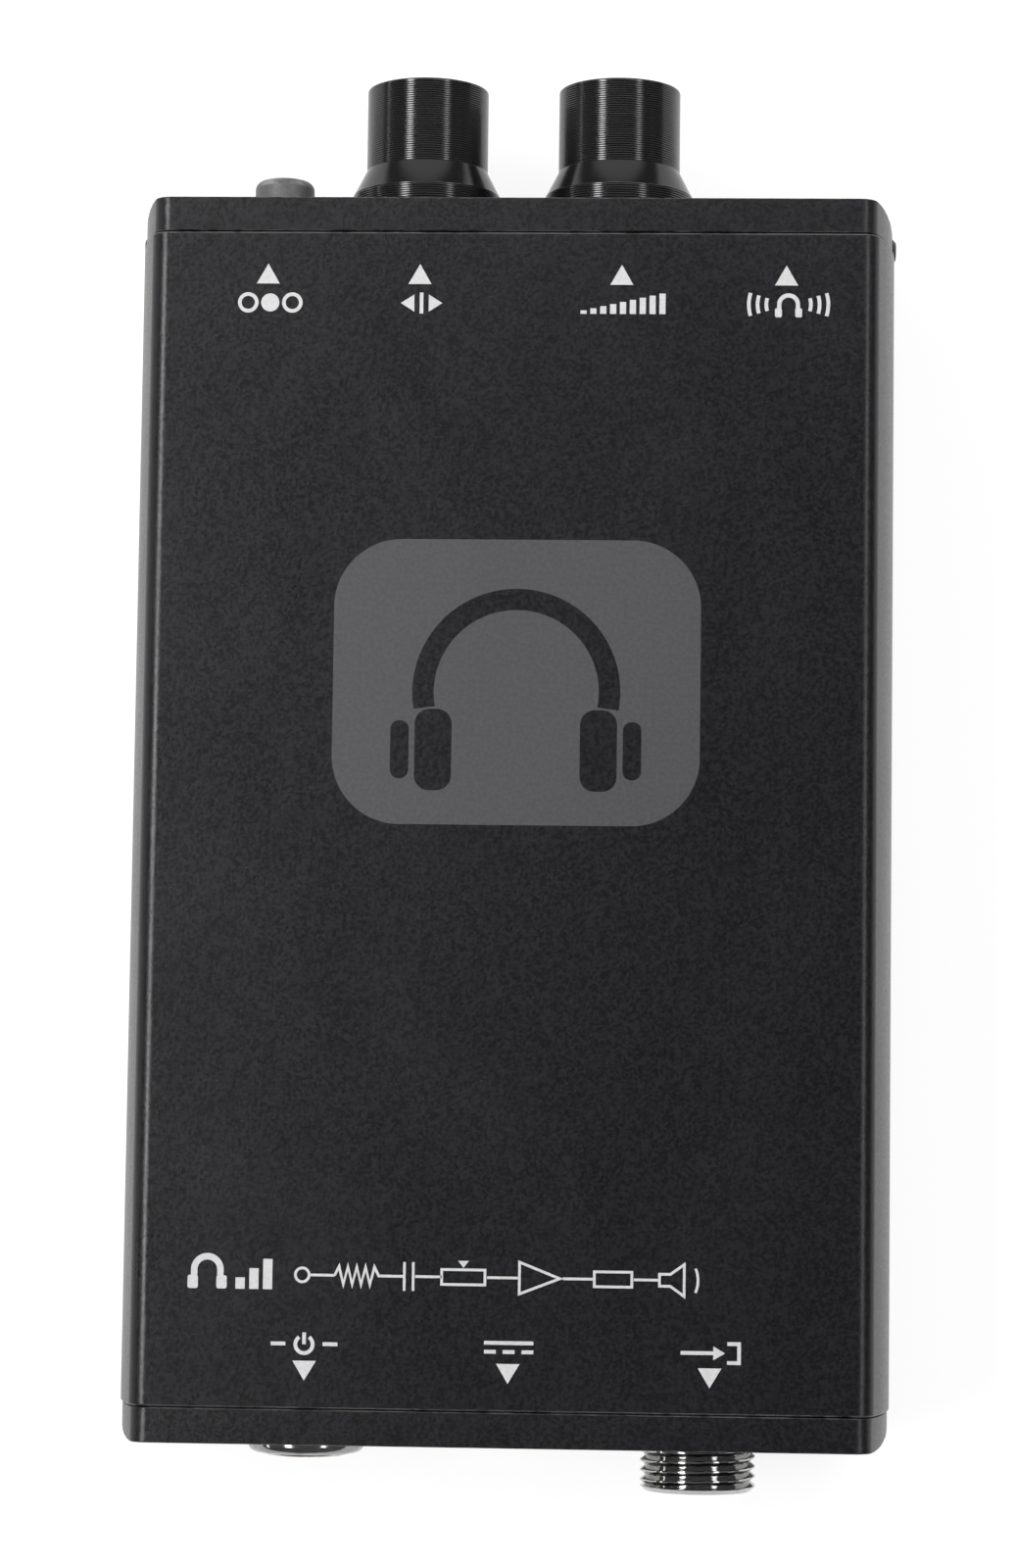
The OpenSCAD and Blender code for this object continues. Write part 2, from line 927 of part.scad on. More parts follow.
module dc_jack_pin() {
    color("gold")
        rod_y(dc_x, axis_z, dc_pin_r, dc_front + 0.6, dc_front + dc_depth);
}

module input_connector_shell() {
    chamfer = 0.4;
    key_w = 1.5;
    key_len = 4;
    tip = thread_out + end_y - plate_y;
    color("gainsboro")
        translate([input_x, -plate_y, axis_z])
            rotate([90, 0, 0])
                difference() {
                    rotate_extrude($fn = 96)
                        polygon([
                            [input_bore_r, -shell_tail],
                            [input_bore_r + 0.9, -shell_tail],
                            [input_bore_r + 0.9, -shell_flange_t],
                            [shell_flange_r, -shell_flange_t],
                            [shell_flange_r, -seat_fit],
                            [neck_r, -seat_fit],
                            [neck_r, end_y - plate_y + neck_out],
                            [thread_r, end_y - plate_y + neck_out],
                            [thread_r, tip - chamfer],
                            [thread_r - chamfer, tip],
                            [input_bore_r, tip]
                        ]);
                    translate([-key_w / 2, input_bore_r - 1, tip - key_len])
                        cube([key_w, 1.6, key_len + 1]);
                }
}

// Places of the input connector's contacts: one in the middle and a ring round it
function contact_places() = concat(
    [[0, 0]],
    [for (i = [0 : contact_count - 1])
        let (turn = i * 360 / contact_count)
            contact_ring_r * [sin(turn), cos(turn)]]
);

module input_insert() {
    color("black")
        difference() {
            rod_y(input_x, axis_z, input_bore_r - seat_fit, insert_front, insert_front + insert_len);
            for (place = contact_places())
                rod_y(input_x + place[0], axis_z + place[1], contact_r + seat_fit,
                      insert_front - 1, insert_front + insert_len + 1, 24);
        }
}

module input_contacts() {
    color("gold")
        for (place = contact_places())
            rod_y(input_x + place[0], axis_z + place[1], contact_r,
                  insert_front + 1.5, insert_front + insert_len + 2.5, 24);
}

upper_cover();
lower_cover();
knob_end_cap();
input_end_cap();
cap_screws();
side_screws();
battery_door();
battery_tray();
battery();
battery_snap();
battery_leads();
circuit_board();
board_screws();
op_amps();
electrolytic_capacitors();
film_capacitors();
voltage_regulator();
resistors();
pan_pot();
volume_pot();
pot_washers();
pot_nuts();
pan_shaft();
volume_shaft();
pan_knob();
volume_knob();
pan_pointer();
volume_pointer();
mono_button();
mono_plunger();
mono_switch();
power_bezel();
power_nut();
power_button();
power_stem();
power_switch();
phones_jack();
phones_collar();
phones_contacts();
dc_jack();
dc_jack_pin();
input_connector_shell();
input_insert();
input_contacts();
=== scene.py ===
"""Looks of a pocket headphone amplifier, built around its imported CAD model.

Lengths are metres in the model's own frame: the origin is the centre of the
case's flat underside, +Y runs towards the knobs and +Z up through the printed
top face.  Sizes that the CAD model settles are read from its boxes.
"""

import logging
import math
from dataclasses import dataclass
from enum import Enum
from typing import Optional, Sequence

import bmesh
import bpy
from mathutils import Matrix, Vector


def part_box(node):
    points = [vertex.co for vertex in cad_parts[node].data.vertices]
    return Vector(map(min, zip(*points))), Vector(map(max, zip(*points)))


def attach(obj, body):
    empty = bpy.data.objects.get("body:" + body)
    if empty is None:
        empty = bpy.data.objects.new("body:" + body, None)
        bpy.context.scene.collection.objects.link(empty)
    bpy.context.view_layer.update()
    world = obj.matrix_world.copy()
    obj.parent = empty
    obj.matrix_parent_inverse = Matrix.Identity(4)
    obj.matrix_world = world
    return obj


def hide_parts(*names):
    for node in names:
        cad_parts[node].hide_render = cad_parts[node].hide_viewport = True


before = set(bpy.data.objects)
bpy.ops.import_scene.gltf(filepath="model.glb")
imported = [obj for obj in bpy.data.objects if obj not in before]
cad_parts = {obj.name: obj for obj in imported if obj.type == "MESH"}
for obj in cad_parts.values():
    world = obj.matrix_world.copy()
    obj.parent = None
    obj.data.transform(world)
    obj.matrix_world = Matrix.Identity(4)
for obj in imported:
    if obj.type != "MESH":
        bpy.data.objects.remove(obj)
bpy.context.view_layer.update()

LOG = logging.getLogger("headphone_amplifier")
MM = 0.001
HAIR = 0.01 * MM

Point = tuple[float, float]
Colour = tuple[float, float, float]
Socket = bpy.types.NodeSocket


# ------------------------------------------------------------------ node graphs


class Graph:
    """A node tree under construction, with short calls for nodes and links."""

    def __init__(self, tree: bpy.types.NodeTree) -> None:
        """Starts on a tree.

        Args:
            tree: The shader or geometry tree to fill.
        """
        self.tree = tree

    def node(self, kind: str, inputs: Optional[dict] = None, **settings: object) -> bpy.types.Node:
        """Adds a node.

        Args:
            kind: Blender's name of the node type.
            inputs: Values or sockets for its inputs, by name or place.
            **settings: Properties to set on the node itself.

        Returns:
            The new node.
        """
        made = self.tree.nodes.new(kind)
        for key, value in settings.items():
            setattr(made, key, value)
        for key, value in (inputs or {}).items():
            self.feed(made.inputs[key], value)
        return made

    def feed(self, socket: Socket, value: object) -> None:
        """Links a socket or sets its value.

        Args:
            socket: The input to feed.
            value: Another node's output, or a plain value.
        """
        if isinstance(value, bpy.types.NodeSocket):
            self.tree.links.new(value, socket)
        else:
            socket.default_value = value

    def math(self, operation: str, *terms: object, clamp: bool = False) -> Socket:
        """Adds a Math node.

        Args:
            operation: Its operation, such as "MULTIPLY".
            *terms: Its one to three operands.
            clamp: Whether the result is held between 0 and 1.

        Returns:
            The result's socket.
        """
        made = self.node("ShaderNodeMath", dict(enumerate(terms)), operation=operation, use_clamp=clamp)
        return made.outputs[0]

    def vector(self, operation: str, *terms: object) -> Socket:
        """Adds a Vector Math node.

        Args:
            operation: Its operation, such as "ADD" or "SCALE".
            *terms: Its operands; the second is the factor of a "SCALE".

        Returns:
            The result's socket.
        """
        places = (0, 3) if operation == "SCALE" else (0, 1, 2)
        made = self.node("ShaderNodeVectorMath", dict(zip(places, terms)), operation=operation)
        return made.outputs[0]

    def mix(self, share: object, low: object, high: object) -> Socket:
        """Adds a colour mix, which uses sockets 0, 6 and 7 of a Mix node.

        Args:
            share: How much of the second colour there is.
            low: The first colour.
            high: The second colour.

        Returns:
            The mixed colour's socket.
        """
        return self.node("ShaderNodeMix", {0: share, 6: low, 7: high}, data_type="RGBA").outputs[2]

    def span(self, value: object, low: float, high: float, out_low: float, out_high: float) -> Socket:
        """Adds a smooth Map Range.

        Args:
            value: What is mapped.
            low: The value that gives out_low.
            high: The value that gives out_high.
            out_low: The least result.
            out_high: The greatest result.

        Returns:
            The mapped value's socket.
        """
        terms = dict(enumerate((value, low, high, out_low, out_high)))
        return self.node("ShaderNodeMapRange", terms, interpolation_type="SMOOTHSTEP").outputs[0]

    def noise(self, where: object, size: object, detail: float, **others: float) -> bpy.types.Node:
        """Adds a noise texture.

        Args:
            where: The coordinates that it follows.
            size: Size of its patches, a length or a socket.
            detail: How many finer layers it has.
            **others: Values of its other inputs.

        Returns:
            The texture's node.
        """
        scale = self.math("DIVIDE", 1.0, size) if isinstance(size, Socket) else 1 / size
        return self.node("ShaderNodeTexNoise", {"Vector": where, "Scale": scale, "Detail": detail, **others})


def open_material(name: str) -> tuple[bpy.types.Material, Graph]:
    """Starts a material with an empty node tree.

    Args:
        name: The material's name.

    Returns:
        The material and its graph.
    """
    made = bpy.data.materials.new(name)
    made.use_nodes = True
    made.node_tree.nodes.clear()
    return made, Graph(made.node_tree)


def opaque(colour: Sequence[float], gain: float = 1.0, lift: float = 0.0) -> list[float]:
    """Scales a colour, no brighter than white, and gives it a full alpha.

    Args:
        colour: Red, green and blue.
        gain: What they are multiplied by.
        lift: What is added to them.

    Returns:
        Four values for a colour socket.
    """
    return [min(part * gain + lift, 1.0) for part in colour] + [1.0]


def open_group(
    name: str, kind: str, inputs: dict[str, tuple], outputs: dict[str, str]
) -> tuple[bpy.types.NodeTree, Graph, bpy.types.Node, bpy.types.Node]:
    """Starts a node group with named sockets.

    Args:
        name: The group's name.
        kind: "ShaderNodeTree" or "GeometryNodeTree".
        inputs: Each input's name, with its socket kind and default value.
        outputs: Each output's name, with its socket kind.

    Returns:
        The tree, its graph, the group's input node and its output node.
    """
    tree = bpy.data.node_groups.new(name, kind)
    for label, (socket_kind, default) in inputs.items():
        made = tree.interface.new_socket(name=label, in_out="INPUT", socket_type="NodeSocket" + socket_kind)
        if default is not None:
            made.default_value = default
    for label, socket_kind in outputs.items():
        tree.interface.new_socket(name=label, in_out="OUTPUT", socket_type="NodeSocket" + socket_kind)
    graph = Graph(tree)
    return tree, graph, tree.nodes.new("NodeGroupInput"), tree.nodes.new("NodeGroupOutput")


# ------------------------------------------------------------------ shared surface effects


def grain_group() -> bpy.types.NodeTree:
    """Builds the fine grain of a powder coat or a spark-eroded moulding.

    Returns:
        A group that gives a bump height and a tone from 0 to 1.
    """
    tree, graph, given, result = open_group(
        "surface_grain",
        "ShaderNodeTree",
        {"Vector": ("Vector", None), "Size": ("Float", 0.3 * MM), "Soften": ("Float", 0.5)},
        {"Height": "Float", "Tone": "Float"},
    )
    coarseness, coarse_share, tone_low, tone_high = 0.31, 0.4, 0.32, 0.68
    where = given.outputs["Vector"]
    fine = graph.noise(where, given.outputs["Size"], 3.0, Roughness=given.outputs["Soften"]).outputs[0]
    scale = graph.math("MULTIPLY", graph.math("DIVIDE", 1.0, given.outputs["Size"]), coarseness)
    coarse = graph.node("ShaderNodeTexNoise", {"Vector": where, "Scale": scale, "Detail": 1.0}).outputs[0]
    graph.feed(result.inputs["Height"], graph.math("MULTIPLY_ADD", coarse, coarse_share, fine))
    graph.feed(result.inputs["Tone"], graph.span(fine, tone_low, tone_high, 0.0, 1.0))
    return tree


def wear_group() -> bpy.types.NodeTree:
    """Builds the rub marks along broken edges.

    Returns:
        A group that gives a mask, 1 where the edge is rubbed.
    """
    tree, graph, given, result = open_group(
        "edge_wear",
        "ShaderNodeTree",
        {
            "Vector": ("Vector", None),
            "Edge": ("Float", 0.0),
            "Amount": ("Float", 0.4),
            "Size": ("Float", 2 * MM),
        },
        {"Mask": "Float"},
    )
    threshold, contrast = 0.55, 6.0
    noise = graph.noise(given.outputs["Vector"], given.outputs["Size"], 6.0)
    patch = graph.math("ADD", noise.outputs[0], graph.math("MULTIPLY", given.outputs["Amount"], 0.5))
    patch = graph.math("SUBTRACT", patch, threshold)
    rubbed = graph.math("MULTIPLY", patch, contrast, clamp=True)
    graph.feed(result.inputs["Mask"], graph.math("MULTIPLY", rubbed, given.outputs["Edge"]))
    return tree


def handling_group() -> bpy.types.NodeTree:
    """Builds faint smears and specks of dust from handling.

    Returns:
        A group that gives a smear value around 0 and a mask of dust specks.
    """
    tree, graph, given, result = open_group(
        "handling_marks",
        "ShaderNodeTree",
        {"Vector": ("Vector", None), "Size": ("Float", 14 * MM), "Dust": ("Float", 0.3)},
        {"Smear": "Float", "Specks": "Float"},
    )
    stretch, spacing, speck_size, rarity = (1.0, 0.55, 1.0), 2.2 * MM, 0.055, 0.86
    stretched = graph.vector("MULTIPLY", given.outputs["Vector"], stretch)
    smear = graph.noise(stretched, given.outputs["Size"], 4.0, Distortion=0.6)
    specks = graph.node("ShaderNodeTexVoronoi", {"Vector": given.outputs["Vector"], "Scale": 1 / spacing})
    near = graph.span(specks.outputs["Distance"], 0.0, speck_size, 1.0, 0.0)
    draw = graph.node("ShaderNodeSeparateColor", {0: specks.outputs["Color"]}).outputs[0]
    chosen = graph.math("GREATER_THAN", draw, rarity)
    masked = graph.math("MULTIPLY", graph.math("MULTIPLY", near, chosen), given.outputs["Dust"])
    graph.feed(result.inputs["Smear"], graph.math("SUBTRACT", smear.outputs[0], 0.5))
    graph.feed(result.inputs["Specks"], masked)
    return tree


def turned_group() -> bpy.types.NodeTree:
    """Builds the fine lines that a lathe leaves round an axis along Y.

    Returns:
        A group that gives a bump height.
    """
    tree, graph, given, result = open_group(
        "turned_lines",
        "ShaderNodeTree",
        {"Vector": ("Vector", None), "Pitch": ("Float", 0.08 * MM)},
        {"Height": "Float"},
    )
    mostly_along = (0.02, 1.0, 0.02)
    squeezed = graph.vector("MULTIPLY", given.outputs["Vector"], mostly_along)
    graph.feed(result.inputs["Height"], graph.noise(squeezed, given.outputs["Pitch"], 2.0).outputs[0])
    return tree


class Effects:
    """The shared shader groups, each built once."""

    def __init__(self) -> None:
        """Builds every group."""
        self.grain = grain_group()
        self.wear = wear_group()
        self.handling = handling_group()
        self.turned = turned_group()


EFFECTS = Effects()


# ------------------------------------------------------------------ finishes

DUST_COLOUR = (0.35, 0.34, 0.32)
DUST_DULLS = 0.3
LEAST_ROUGHNESS = 0.02


@dataclass(frozen=True)
class Finish:
    """A surface finish: its colour, its gloss and the marks that it carries.

    Attributes:
        name: The material's name.
        colour: The clean surface's colour.
        roughness: The clean surface's roughness.
        metallic: 1 for bare or plated metal.
        tone: How far the colour swings with the grain.
        grain: Size of the grain.
        relief: Depth of the grain.
        speckle: How far the roughness swings with the grain.
        smear: How far handling changes the roughness.
        dust: Strength of the dust specks.
        worn: The colour that rubbed edges show.
        wear: How much of the edges is rubbed, 0 for none.
        lines: Depth of turned lines round Y, 0 for none.
        gloss: Level of the plain specular reflection.
    """

    name: str
    colour: Colour
    roughness: float
    metallic: float = 0.0
    tone: float = 0.12
    grain: float = 0.25 * MM
    relief: float = 0.004 * MM
    speckle: float = 0.02
    smear: float = 0.12
    dust: float = 0.0
    worn: Colour = (0.12, 0.12, 0.12)
    wear: float = 0.0
    lines: float = 0.0
    gloss: float = 0.5

    def material(self) -> bpy.types.Material:
        """Returns this finish's material, made on first use."""
        found = bpy.data.materials.get(self.name)
        return found if found else self.build()

    def pattern(self, graph: Graph, where: Socket, grain: bpy.types.Node) -> Socket:
        """Makes the colour of the clean surface.

        Args:
            graph: The material's graph.
            where: Object coordinates.
            grain: The grain group's node.

        Returns:
            The colour's socket.
        """
        dark = opaque(self.colour, 1 - self.tone)
        return graph.mix(grain.outputs["Tone"], dark, opaque(self.colour, 1 + self.tone))

    def build(self) -> bpy.types.Material:
        """Builds the material.

        Returns:
            The new material.
        """
        made, graph = open_material(self.name)
        where = graph.node("ShaderNodeTexCoord").outputs["Object"]
        terms = {"Vector": where, "Size": self.grain}
        grain = graph.node("ShaderNodeGroup", terms, node_tree=EFFECTS.grain)
        terms = {"Vector": where, "Dust": self.dust}
        marks = graph.node("ShaderNodeGroup", terms, node_tree=EFFECTS.handling)
        colour = self.pattern(graph, where, grain)
        rough = graph.math("MULTIPLY_ADD", marks.outputs["Smear"], self.smear, self.roughness)
        swing = graph.math("SUBTRACT", grain.outputs["Tone"], 0.5)
        rough = graph.math("MULTIPLY_ADD", swing, self.speckle, rough)
        if self.wear:
            edge = graph.node("ShaderNodeAttribute", attribute_name="edge").outputs["Fac"]
            terms = {"Vector": where, "Edge": edge, "Amount": self.wear}
            rub = graph.node("ShaderNodeGroup", terms, node_tree=EFFECTS.wear)
            colour = graph.mix(rub.outputs["Mask"], colour, opaque(self.worn))
        if self.dust:
            colour = graph.mix(marks.outputs["Specks"], colour, opaque(DUST_COLOUR))
            rough = graph.math("MULTIPLY_ADD", marks.outputs["Specks"], DUST_DULLS, rough)
        bump = {"Height": grain.outputs["Height"], "Distance": self.relief, "Strength": 1.0}
        normal = graph.node("ShaderNodeBump", bump).outputs[0]
        if self.lines:
            turned = graph.node("ShaderNodeGroup", {"Vector": where}, node_tree=EFFECTS.turned)
            height = turned.outputs["Height"]
            bump = {"Height": height, "Distance": self.lines, "Strength": 1.0, "Normal": normal}
            normal = graph.node("ShaderNodeBump", bump).outputs[0]
        shader = graph.node(
            "ShaderNodeBsdfPrincipled",
            {
                "Base Color": colour,
                "Roughness": graph.math("MAXIMUM", rough, LEAST_ROUGHNESS),
                "Metallic": self.metallic,
                "Normal": normal,
                "Specular IOR Level": self.gloss,
            },
        )
        graph.node("ShaderNodeOutputMaterial", {"Surface": shader.outputs[0]})
        return made


@dataclass(frozen=True)
class BoardFinish(Finish):
    """Green solder mask with copper tracks and tinned pads showing through.

    Attributes:
        track_pitch: Distance between neighbouring tracks.
        track: Half width of a track and where its edge ends, as shares of the pitch.
        bend: How far the tracks wander.
        bend_size: Size of their bends.
        hole_pitch: Distance between neighbouring pads.
        pad: Radius of a pad and where its edge ends.
        gain: How much brighter the mask is over copper.
        tin: The pads' colour.
    """

    track_pitch: float = 1.27 * MM
    track: Point = (0.16, 0.2)
    bend: float = 6 * MM
    bend_size: float = 30 * MM
    hole_pitch: float = 2.54 * MM
    pad: Point = (0.5 * MM, 0.55 * MM)
    gain: float = 2.2
    tin: Colour = (0.55, 0.55, 0.52)

    def pattern(self, graph: Graph, where: Socket, grain: bpy.types.Node) -> Socket:
        """Makes the mask's colour, with tracks and pads.

        Args:
            graph: The material's graph.
            where: Object coordinates.
            grain: The grain group's node.

        Returns:
            The colour's socket.
        """
        bent = graph.noise(where, self.bend_size, 0.0)
        shifted = graph.vector("ADD", where, graph.vector("SCALE", bent.outputs[1], self.bend))
        parts = graph.node("ShaderNodeSeparateXYZ", {0: shifted})
        row = graph.math("FRACT", graph.math("DIVIDE", parts.outputs[0], self.track_pitch))
        track = graph.span(graph.math("ABSOLUTE", graph.math("SUBTRACT", row, 0.5)), *self.track, 1.0, 0.0)
        pitch = self.hole_pitch
        grid = graph.vector("SNAP", where, (pitch, pitch, 1.0))
        away = graph.vector("SUBTRACT", graph.vector("SUBTRACT", where, grid), (pitch / 2, pitch / 2, 0.0))
        flat = graph.vector("MULTIPLY", away, (1.0, 1.0, 0.0))
        radius = graph.node("ShaderNodeVectorMath", {0: flat}, operation="LENGTH").outputs["Value"]
        pad = graph.span(radius, *self.pad, 1.0, 0.0)
        plain = super().pattern(graph, where, grain)
        tracked = graph.mix(track, plain, opaque(self.colour, self.gain, lift=0.01))
        return graph.mix(pad, tracked, opaque(self.tin))


@dataclass(frozen=True)
class BandedFinish(Finish):
    """A printed jacket with a plain band beyond one place along X, as on a battery.

    Attributes:
        band: The band's colour.
        edge_at: Where the band starts along X.
        blur: Half width of its edge.
    """

    band: Colour = (0.02, 0.02, 0.02)
    edge_at: float = 8 * MM
    blur: float = 0.1 * MM

    def pattern(self, graph: Graph, where: Socket, grain: bpy.types.Node) -> Socket:
        """Makes the jacket's colour with its band.

        Args:
            graph: The material's graph.
            where: Object coordinates.
            grain: The grain group's node.

        Returns:
            The colour's socket.
        """
        along = graph.node("ShaderNodeSeparateXYZ", {0: where}).outputs[0]
        banded = graph.span(along, self.edge_at - self.blur, self.edge_at + self.blur, 0.0, 1.0)
        return graph.mix(banded, super().pattern(graph, where, grain), opaque(self.band))


CASE_COAT = Finish(
    "satin_black_coat", (0.0036, 0.0036, 0.0050), 0.33, tone=0.6, grain=0.34 * MM, relief=0.018 * MM,
    speckle=0.08, smear=0.10, dust=0.10, worn=(0.10, 0.10, 0.10), wear=0.45, gloss=0.36,
)
CAP_COAT = Finish(
    "satin_black_moulding", (0.0036, 0.0036, 0.0049), 0.34, tone=0.6, grain=0.34 * MM,
    relief=0.018 * MM, speckle=0.08, smear=0.08, dust=0.08, worn=(0.05, 0.05, 0.05), wear=0.3,
    gloss=0.36,
)
KNOB_GLOSS = Finish(
    "gloss_black_turned", (0.004, 0.004, 0.004), 0.15, tone=0.2, grain=0.15 * MM, relief=0.001 * MM,
    smear=0.06, lines=0.006 * MM, worn=(0.05, 0.05, 0.05), wear=0.1,
)
BUTTON_GREY = Finish(
    "mid_grey_moulding", (0.085, 0.085, 0.087), 0.48, tone=0.1, grain=0.5 * MM, relief=0.008 * MM,
    smear=0.15, worn=(0.2, 0.2, 0.2), wear=0.25,
)
BRIGHT_NICKEL = Finish(
    "bright_nickel", (0.43, 0.428, 0.425), 0.09, metallic=1.0, tone=0.06, grain=0.6 * MM,
    relief=0.001 * MM, smear=0.08, worn=(0.32, 0.3, 0.27), wear=0.12,
)
DARK_NICKEL = Finish(
    "dark_nickel", (0.3, 0.3, 0.305), 0.12, metallic=1.0, tone=0.1, grain=0.5 * MM, relief=0.001 * MM,
    smear=0.1, worn=(0.2, 0.2, 0.2), wear=0.1,
)
SATIN_NICKEL = Finish(
    "satin_nickel", (0.62, 0.61, 0.59), 0.24, metallic=1.0, tone=0.08, grain=0.3 * MM,
    relief=0.002 * MM, smear=0.15, lines=0.002 * MM, worn=(0.4, 0.36, 0.3), wear=0.2,
)
BLACK_OXIDE = Finish(
    "black_oxide", (0.02, 0.02, 0.022), 0.36, metallic=0.4, tone=0.2, grain=0.2 * MM, relief=0.004 * MM,
    worn=(0.22, 0.21, 0.2), wear=0.6,
)
SOCKET_BLACK = Finish(
    "socket_black", (0.012, 0.012, 0.012), 0.38, tone=0.2, grain=0.2 * MM, relief=0.004 * MM,
    worn=(0.06, 0.06, 0.06), wear=0.2,
)
LEGEND_WHITE = Finish(
    "legend_white_ink", (0.49, 0.49, 0.493), 0.5, tone=0.05, grain=0.35 * MM, relief=0.004 * MM,
)
EMBLEM_GREY = Finish(
    "emblem_grey_ink", (0.050, 0.050, 0.053), 0.42, tone=0.1, grain=0.42 * MM, relief=0.025 * MM,
    gloss=0.4,
)
GOLD_FLASH = Finish(
    "gold_flash", (0.78, 0.56, 0.22), 0.2, metallic=1.0, tone=0.08, grain=0.3 * MM, relief=0.002 * MM,
)
NYLON = Finish("natural_nylon", (0.62, 0.6, 0.54), 0.5, tone=0.06, grain=0.6 * MM, relief=0.006 * MM)
EPOXY = Finish("moulded_epoxy", (0.018, 0.018, 0.019), 0.55, tone=0.25, grain=0.2 * MM, relief=0.006 * MM)
SLEEVE = Finish("shrunk_sleeve", (0.012, 0.02, 0.07), 0.3, tone=0.12, grain=0.8 * MM, relief=0.004 * MM)
FILM_BOX = Finish("potted_box", (0.42, 0.045, 0.03), 0.35, tone=0.08, grain=0.5 * MM, relief=0.004 * MM)
LEAD_RED = Finish("wire_insulation", (0.42, 0.02, 0.015), 0.42, tone=0.1, grain=0.5 * MM, relief=0.003 * MM)
POT_STEEL = Finish(
    "plated_pot_body", (0.5, 0.5, 0.49), 0.3, metallic=1.0, tone=0.1, grain=0.4 * MM, relief=0.003 * MM,
)
SOLDER_MASK = BoardFinish(
    "solder_mask", (0.012, 0.11, 0.045), 0.28, tone=0.1, grain=0.6 * MM, relief=0.004 * MM,
)
BATTERY_JACKET = BandedFinish(
    "battery_jacket", (0.45, 0.26, 0.06), 0.3, metallic=0.6, tone=0.08, grain=0.5 * MM,
    relief=0.002 * MM,
)


# ------------------------------------------------------------------ mesh work


class Body(Enum):
    """The CAD model's bodies, which move against each other."""

    CASE = "case"
    PAN = "pan"
    VOLUME = "volume"
    MONO = "mono"
    POWER = "power"
    DOOR = "door"


class Slot(Enum):
    """Material slot names listed beside some pieces in their plans; no piece is given one."""

    CASE = "case"
    CAP = "cap"
    BLACK_SCREW = "black_screw"
    PLATED = "plated"
    KNOB = "knob"
    MARK = "white_mark"
    BUTTON = "button_grey"
    NICKEL = "nickel"
    BATTERY = "battery"
    INNER = "inner_plastic"


def new_object(name: str, mesh: bpy.types.Mesh) -> bpy.types.Object:
    """Links a new object that holds a mesh.

    Args:
        name: The object's name.
        mesh: Its mesh.

    Returns:
        The object, at the origin.
    """
    made = bpy.data.objects.new(name, mesh)
    bpy.context.scene.collection.objects.link(made)
    return made


def point_mesh(name: str, points: Sequence[Vector], faces: Sequence[tuple[int, ...]] = ()) -> bpy.types.Mesh:
    """Makes a mesh from points and faces.

    Args:
        name: The mesh's name.
        points: Its points.
        faces: The points of each face, by place.

    Returns:
        The mesh.
    """
    mesh = bpy.data.meshes.new(name)
    mesh.from_pydata([tuple(point) for point in points], [], list(faces))
    return mesh


def worked_object(name: str, work: bmesh.types.BMesh) -> bpy.types.Object:
    """Links a new object that holds an edited mesh, and frees the edited mesh.

    Args:
        name: The object's name.
        work: The edited mesh.

    Returns:
        The object.
    """
    mesh = bpy.data.meshes.new(name)
    work.to_mesh(mesh)
    work.free()
    return new_object(name, mesh)


def settle(piece: bpy.types.Object) -> bpy.types.Object:
    """Turns a piece and its modifiers into a plain mesh.

    Args:
        piece: The object whose modifiers are applied.

    Returns:
        The same object.
    """
    bpy.context.view_layer.update()
    graph = bpy.context.evaluated_depsgraph_get()
    plain = bpy.data.meshes.new_from_object(
        piece.evaluated_get(graph), preserve_all_data_layers=True, depsgraph=graph
    )
    piece.modifiers.clear()
    piece.data = plain
    plain.name = piece.name
    return piece


def run_tree(
    name: str, mesh: bpy.types.Mesh, tree: bpy.types.NodeTree, values: dict[str, object]
) -> bpy.types.Object:
    """Makes a piece with a geometry tree.

    Args:
        name: The piece's name.
        mesh: The mesh that the tree starts from.
        tree: The geometry tree.
        values: Values of the tree's inputs, by their names.

    Returns:
        The piece, as a plain mesh.
    """
    piece = new_object(name, mesh)
    modifier = piece.modifiers.new("build", "NODES")
    modifier.node_group = tree
    sockets = {item.name: item.identifier for item in tree.interface.items_tree if item.in_out == "INPUT"}
    for label, value in values.items():
        modifier[sockets[label]] = value
    return settle(piece)


def shade(piece: bpy.types.Object, angle: float = 32.0, recalculate: bool = True) -> bpy.types.Object:
    """Points the faces outwards and shades them smooth between sharp edges.

    Args:
        piece: The piece to shade.
        angle: Edges above this many degrees stay sharp.
        recalculate: Whether the face directions are worked out afresh.

    Returns:
        The same object.
    """
    if recalculate:
        work = bmesh.new()
        work.from_mesh(piece.data)
        bmesh.ops.remove_doubles(work, verts=work.verts, dist=0.2 * HAIR)
        bmesh.ops.recalc_face_normals(work, faces=work.faces)
        work.to_mesh(piece.data)
        work.free()
    piece.data.polygons.foreach_set("use_smooth", [True] * len(piece.data.polygons))
    piece.data.set_sharp_from_angle(angle=math.radians(angle))
    return piece


def dress(
    piece: bpy.types.Object, finish: Finish, body: Body, stands_for: Sequence[str] = ()
) -> bpy.types.Object:
    """Gives a finished piece its material, its body and the CAD nodes that it stands for.

    Args:
        piece: The piece.
        finish: Its finish.
        body: The CAD body that it moves with.
        stands_for: CAD nodes that it replaces.

    Returns:
        The same object.
    """
    piece.data.materials.clear()
    piece.data.materials.append(finish.material())
    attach(piece, body.value)
    if stands_for:
        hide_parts(*stands_for)
    LOG.info("%s: %d faces on %s", piece.name, len(piece.data.polygons), body.value)
    return piece


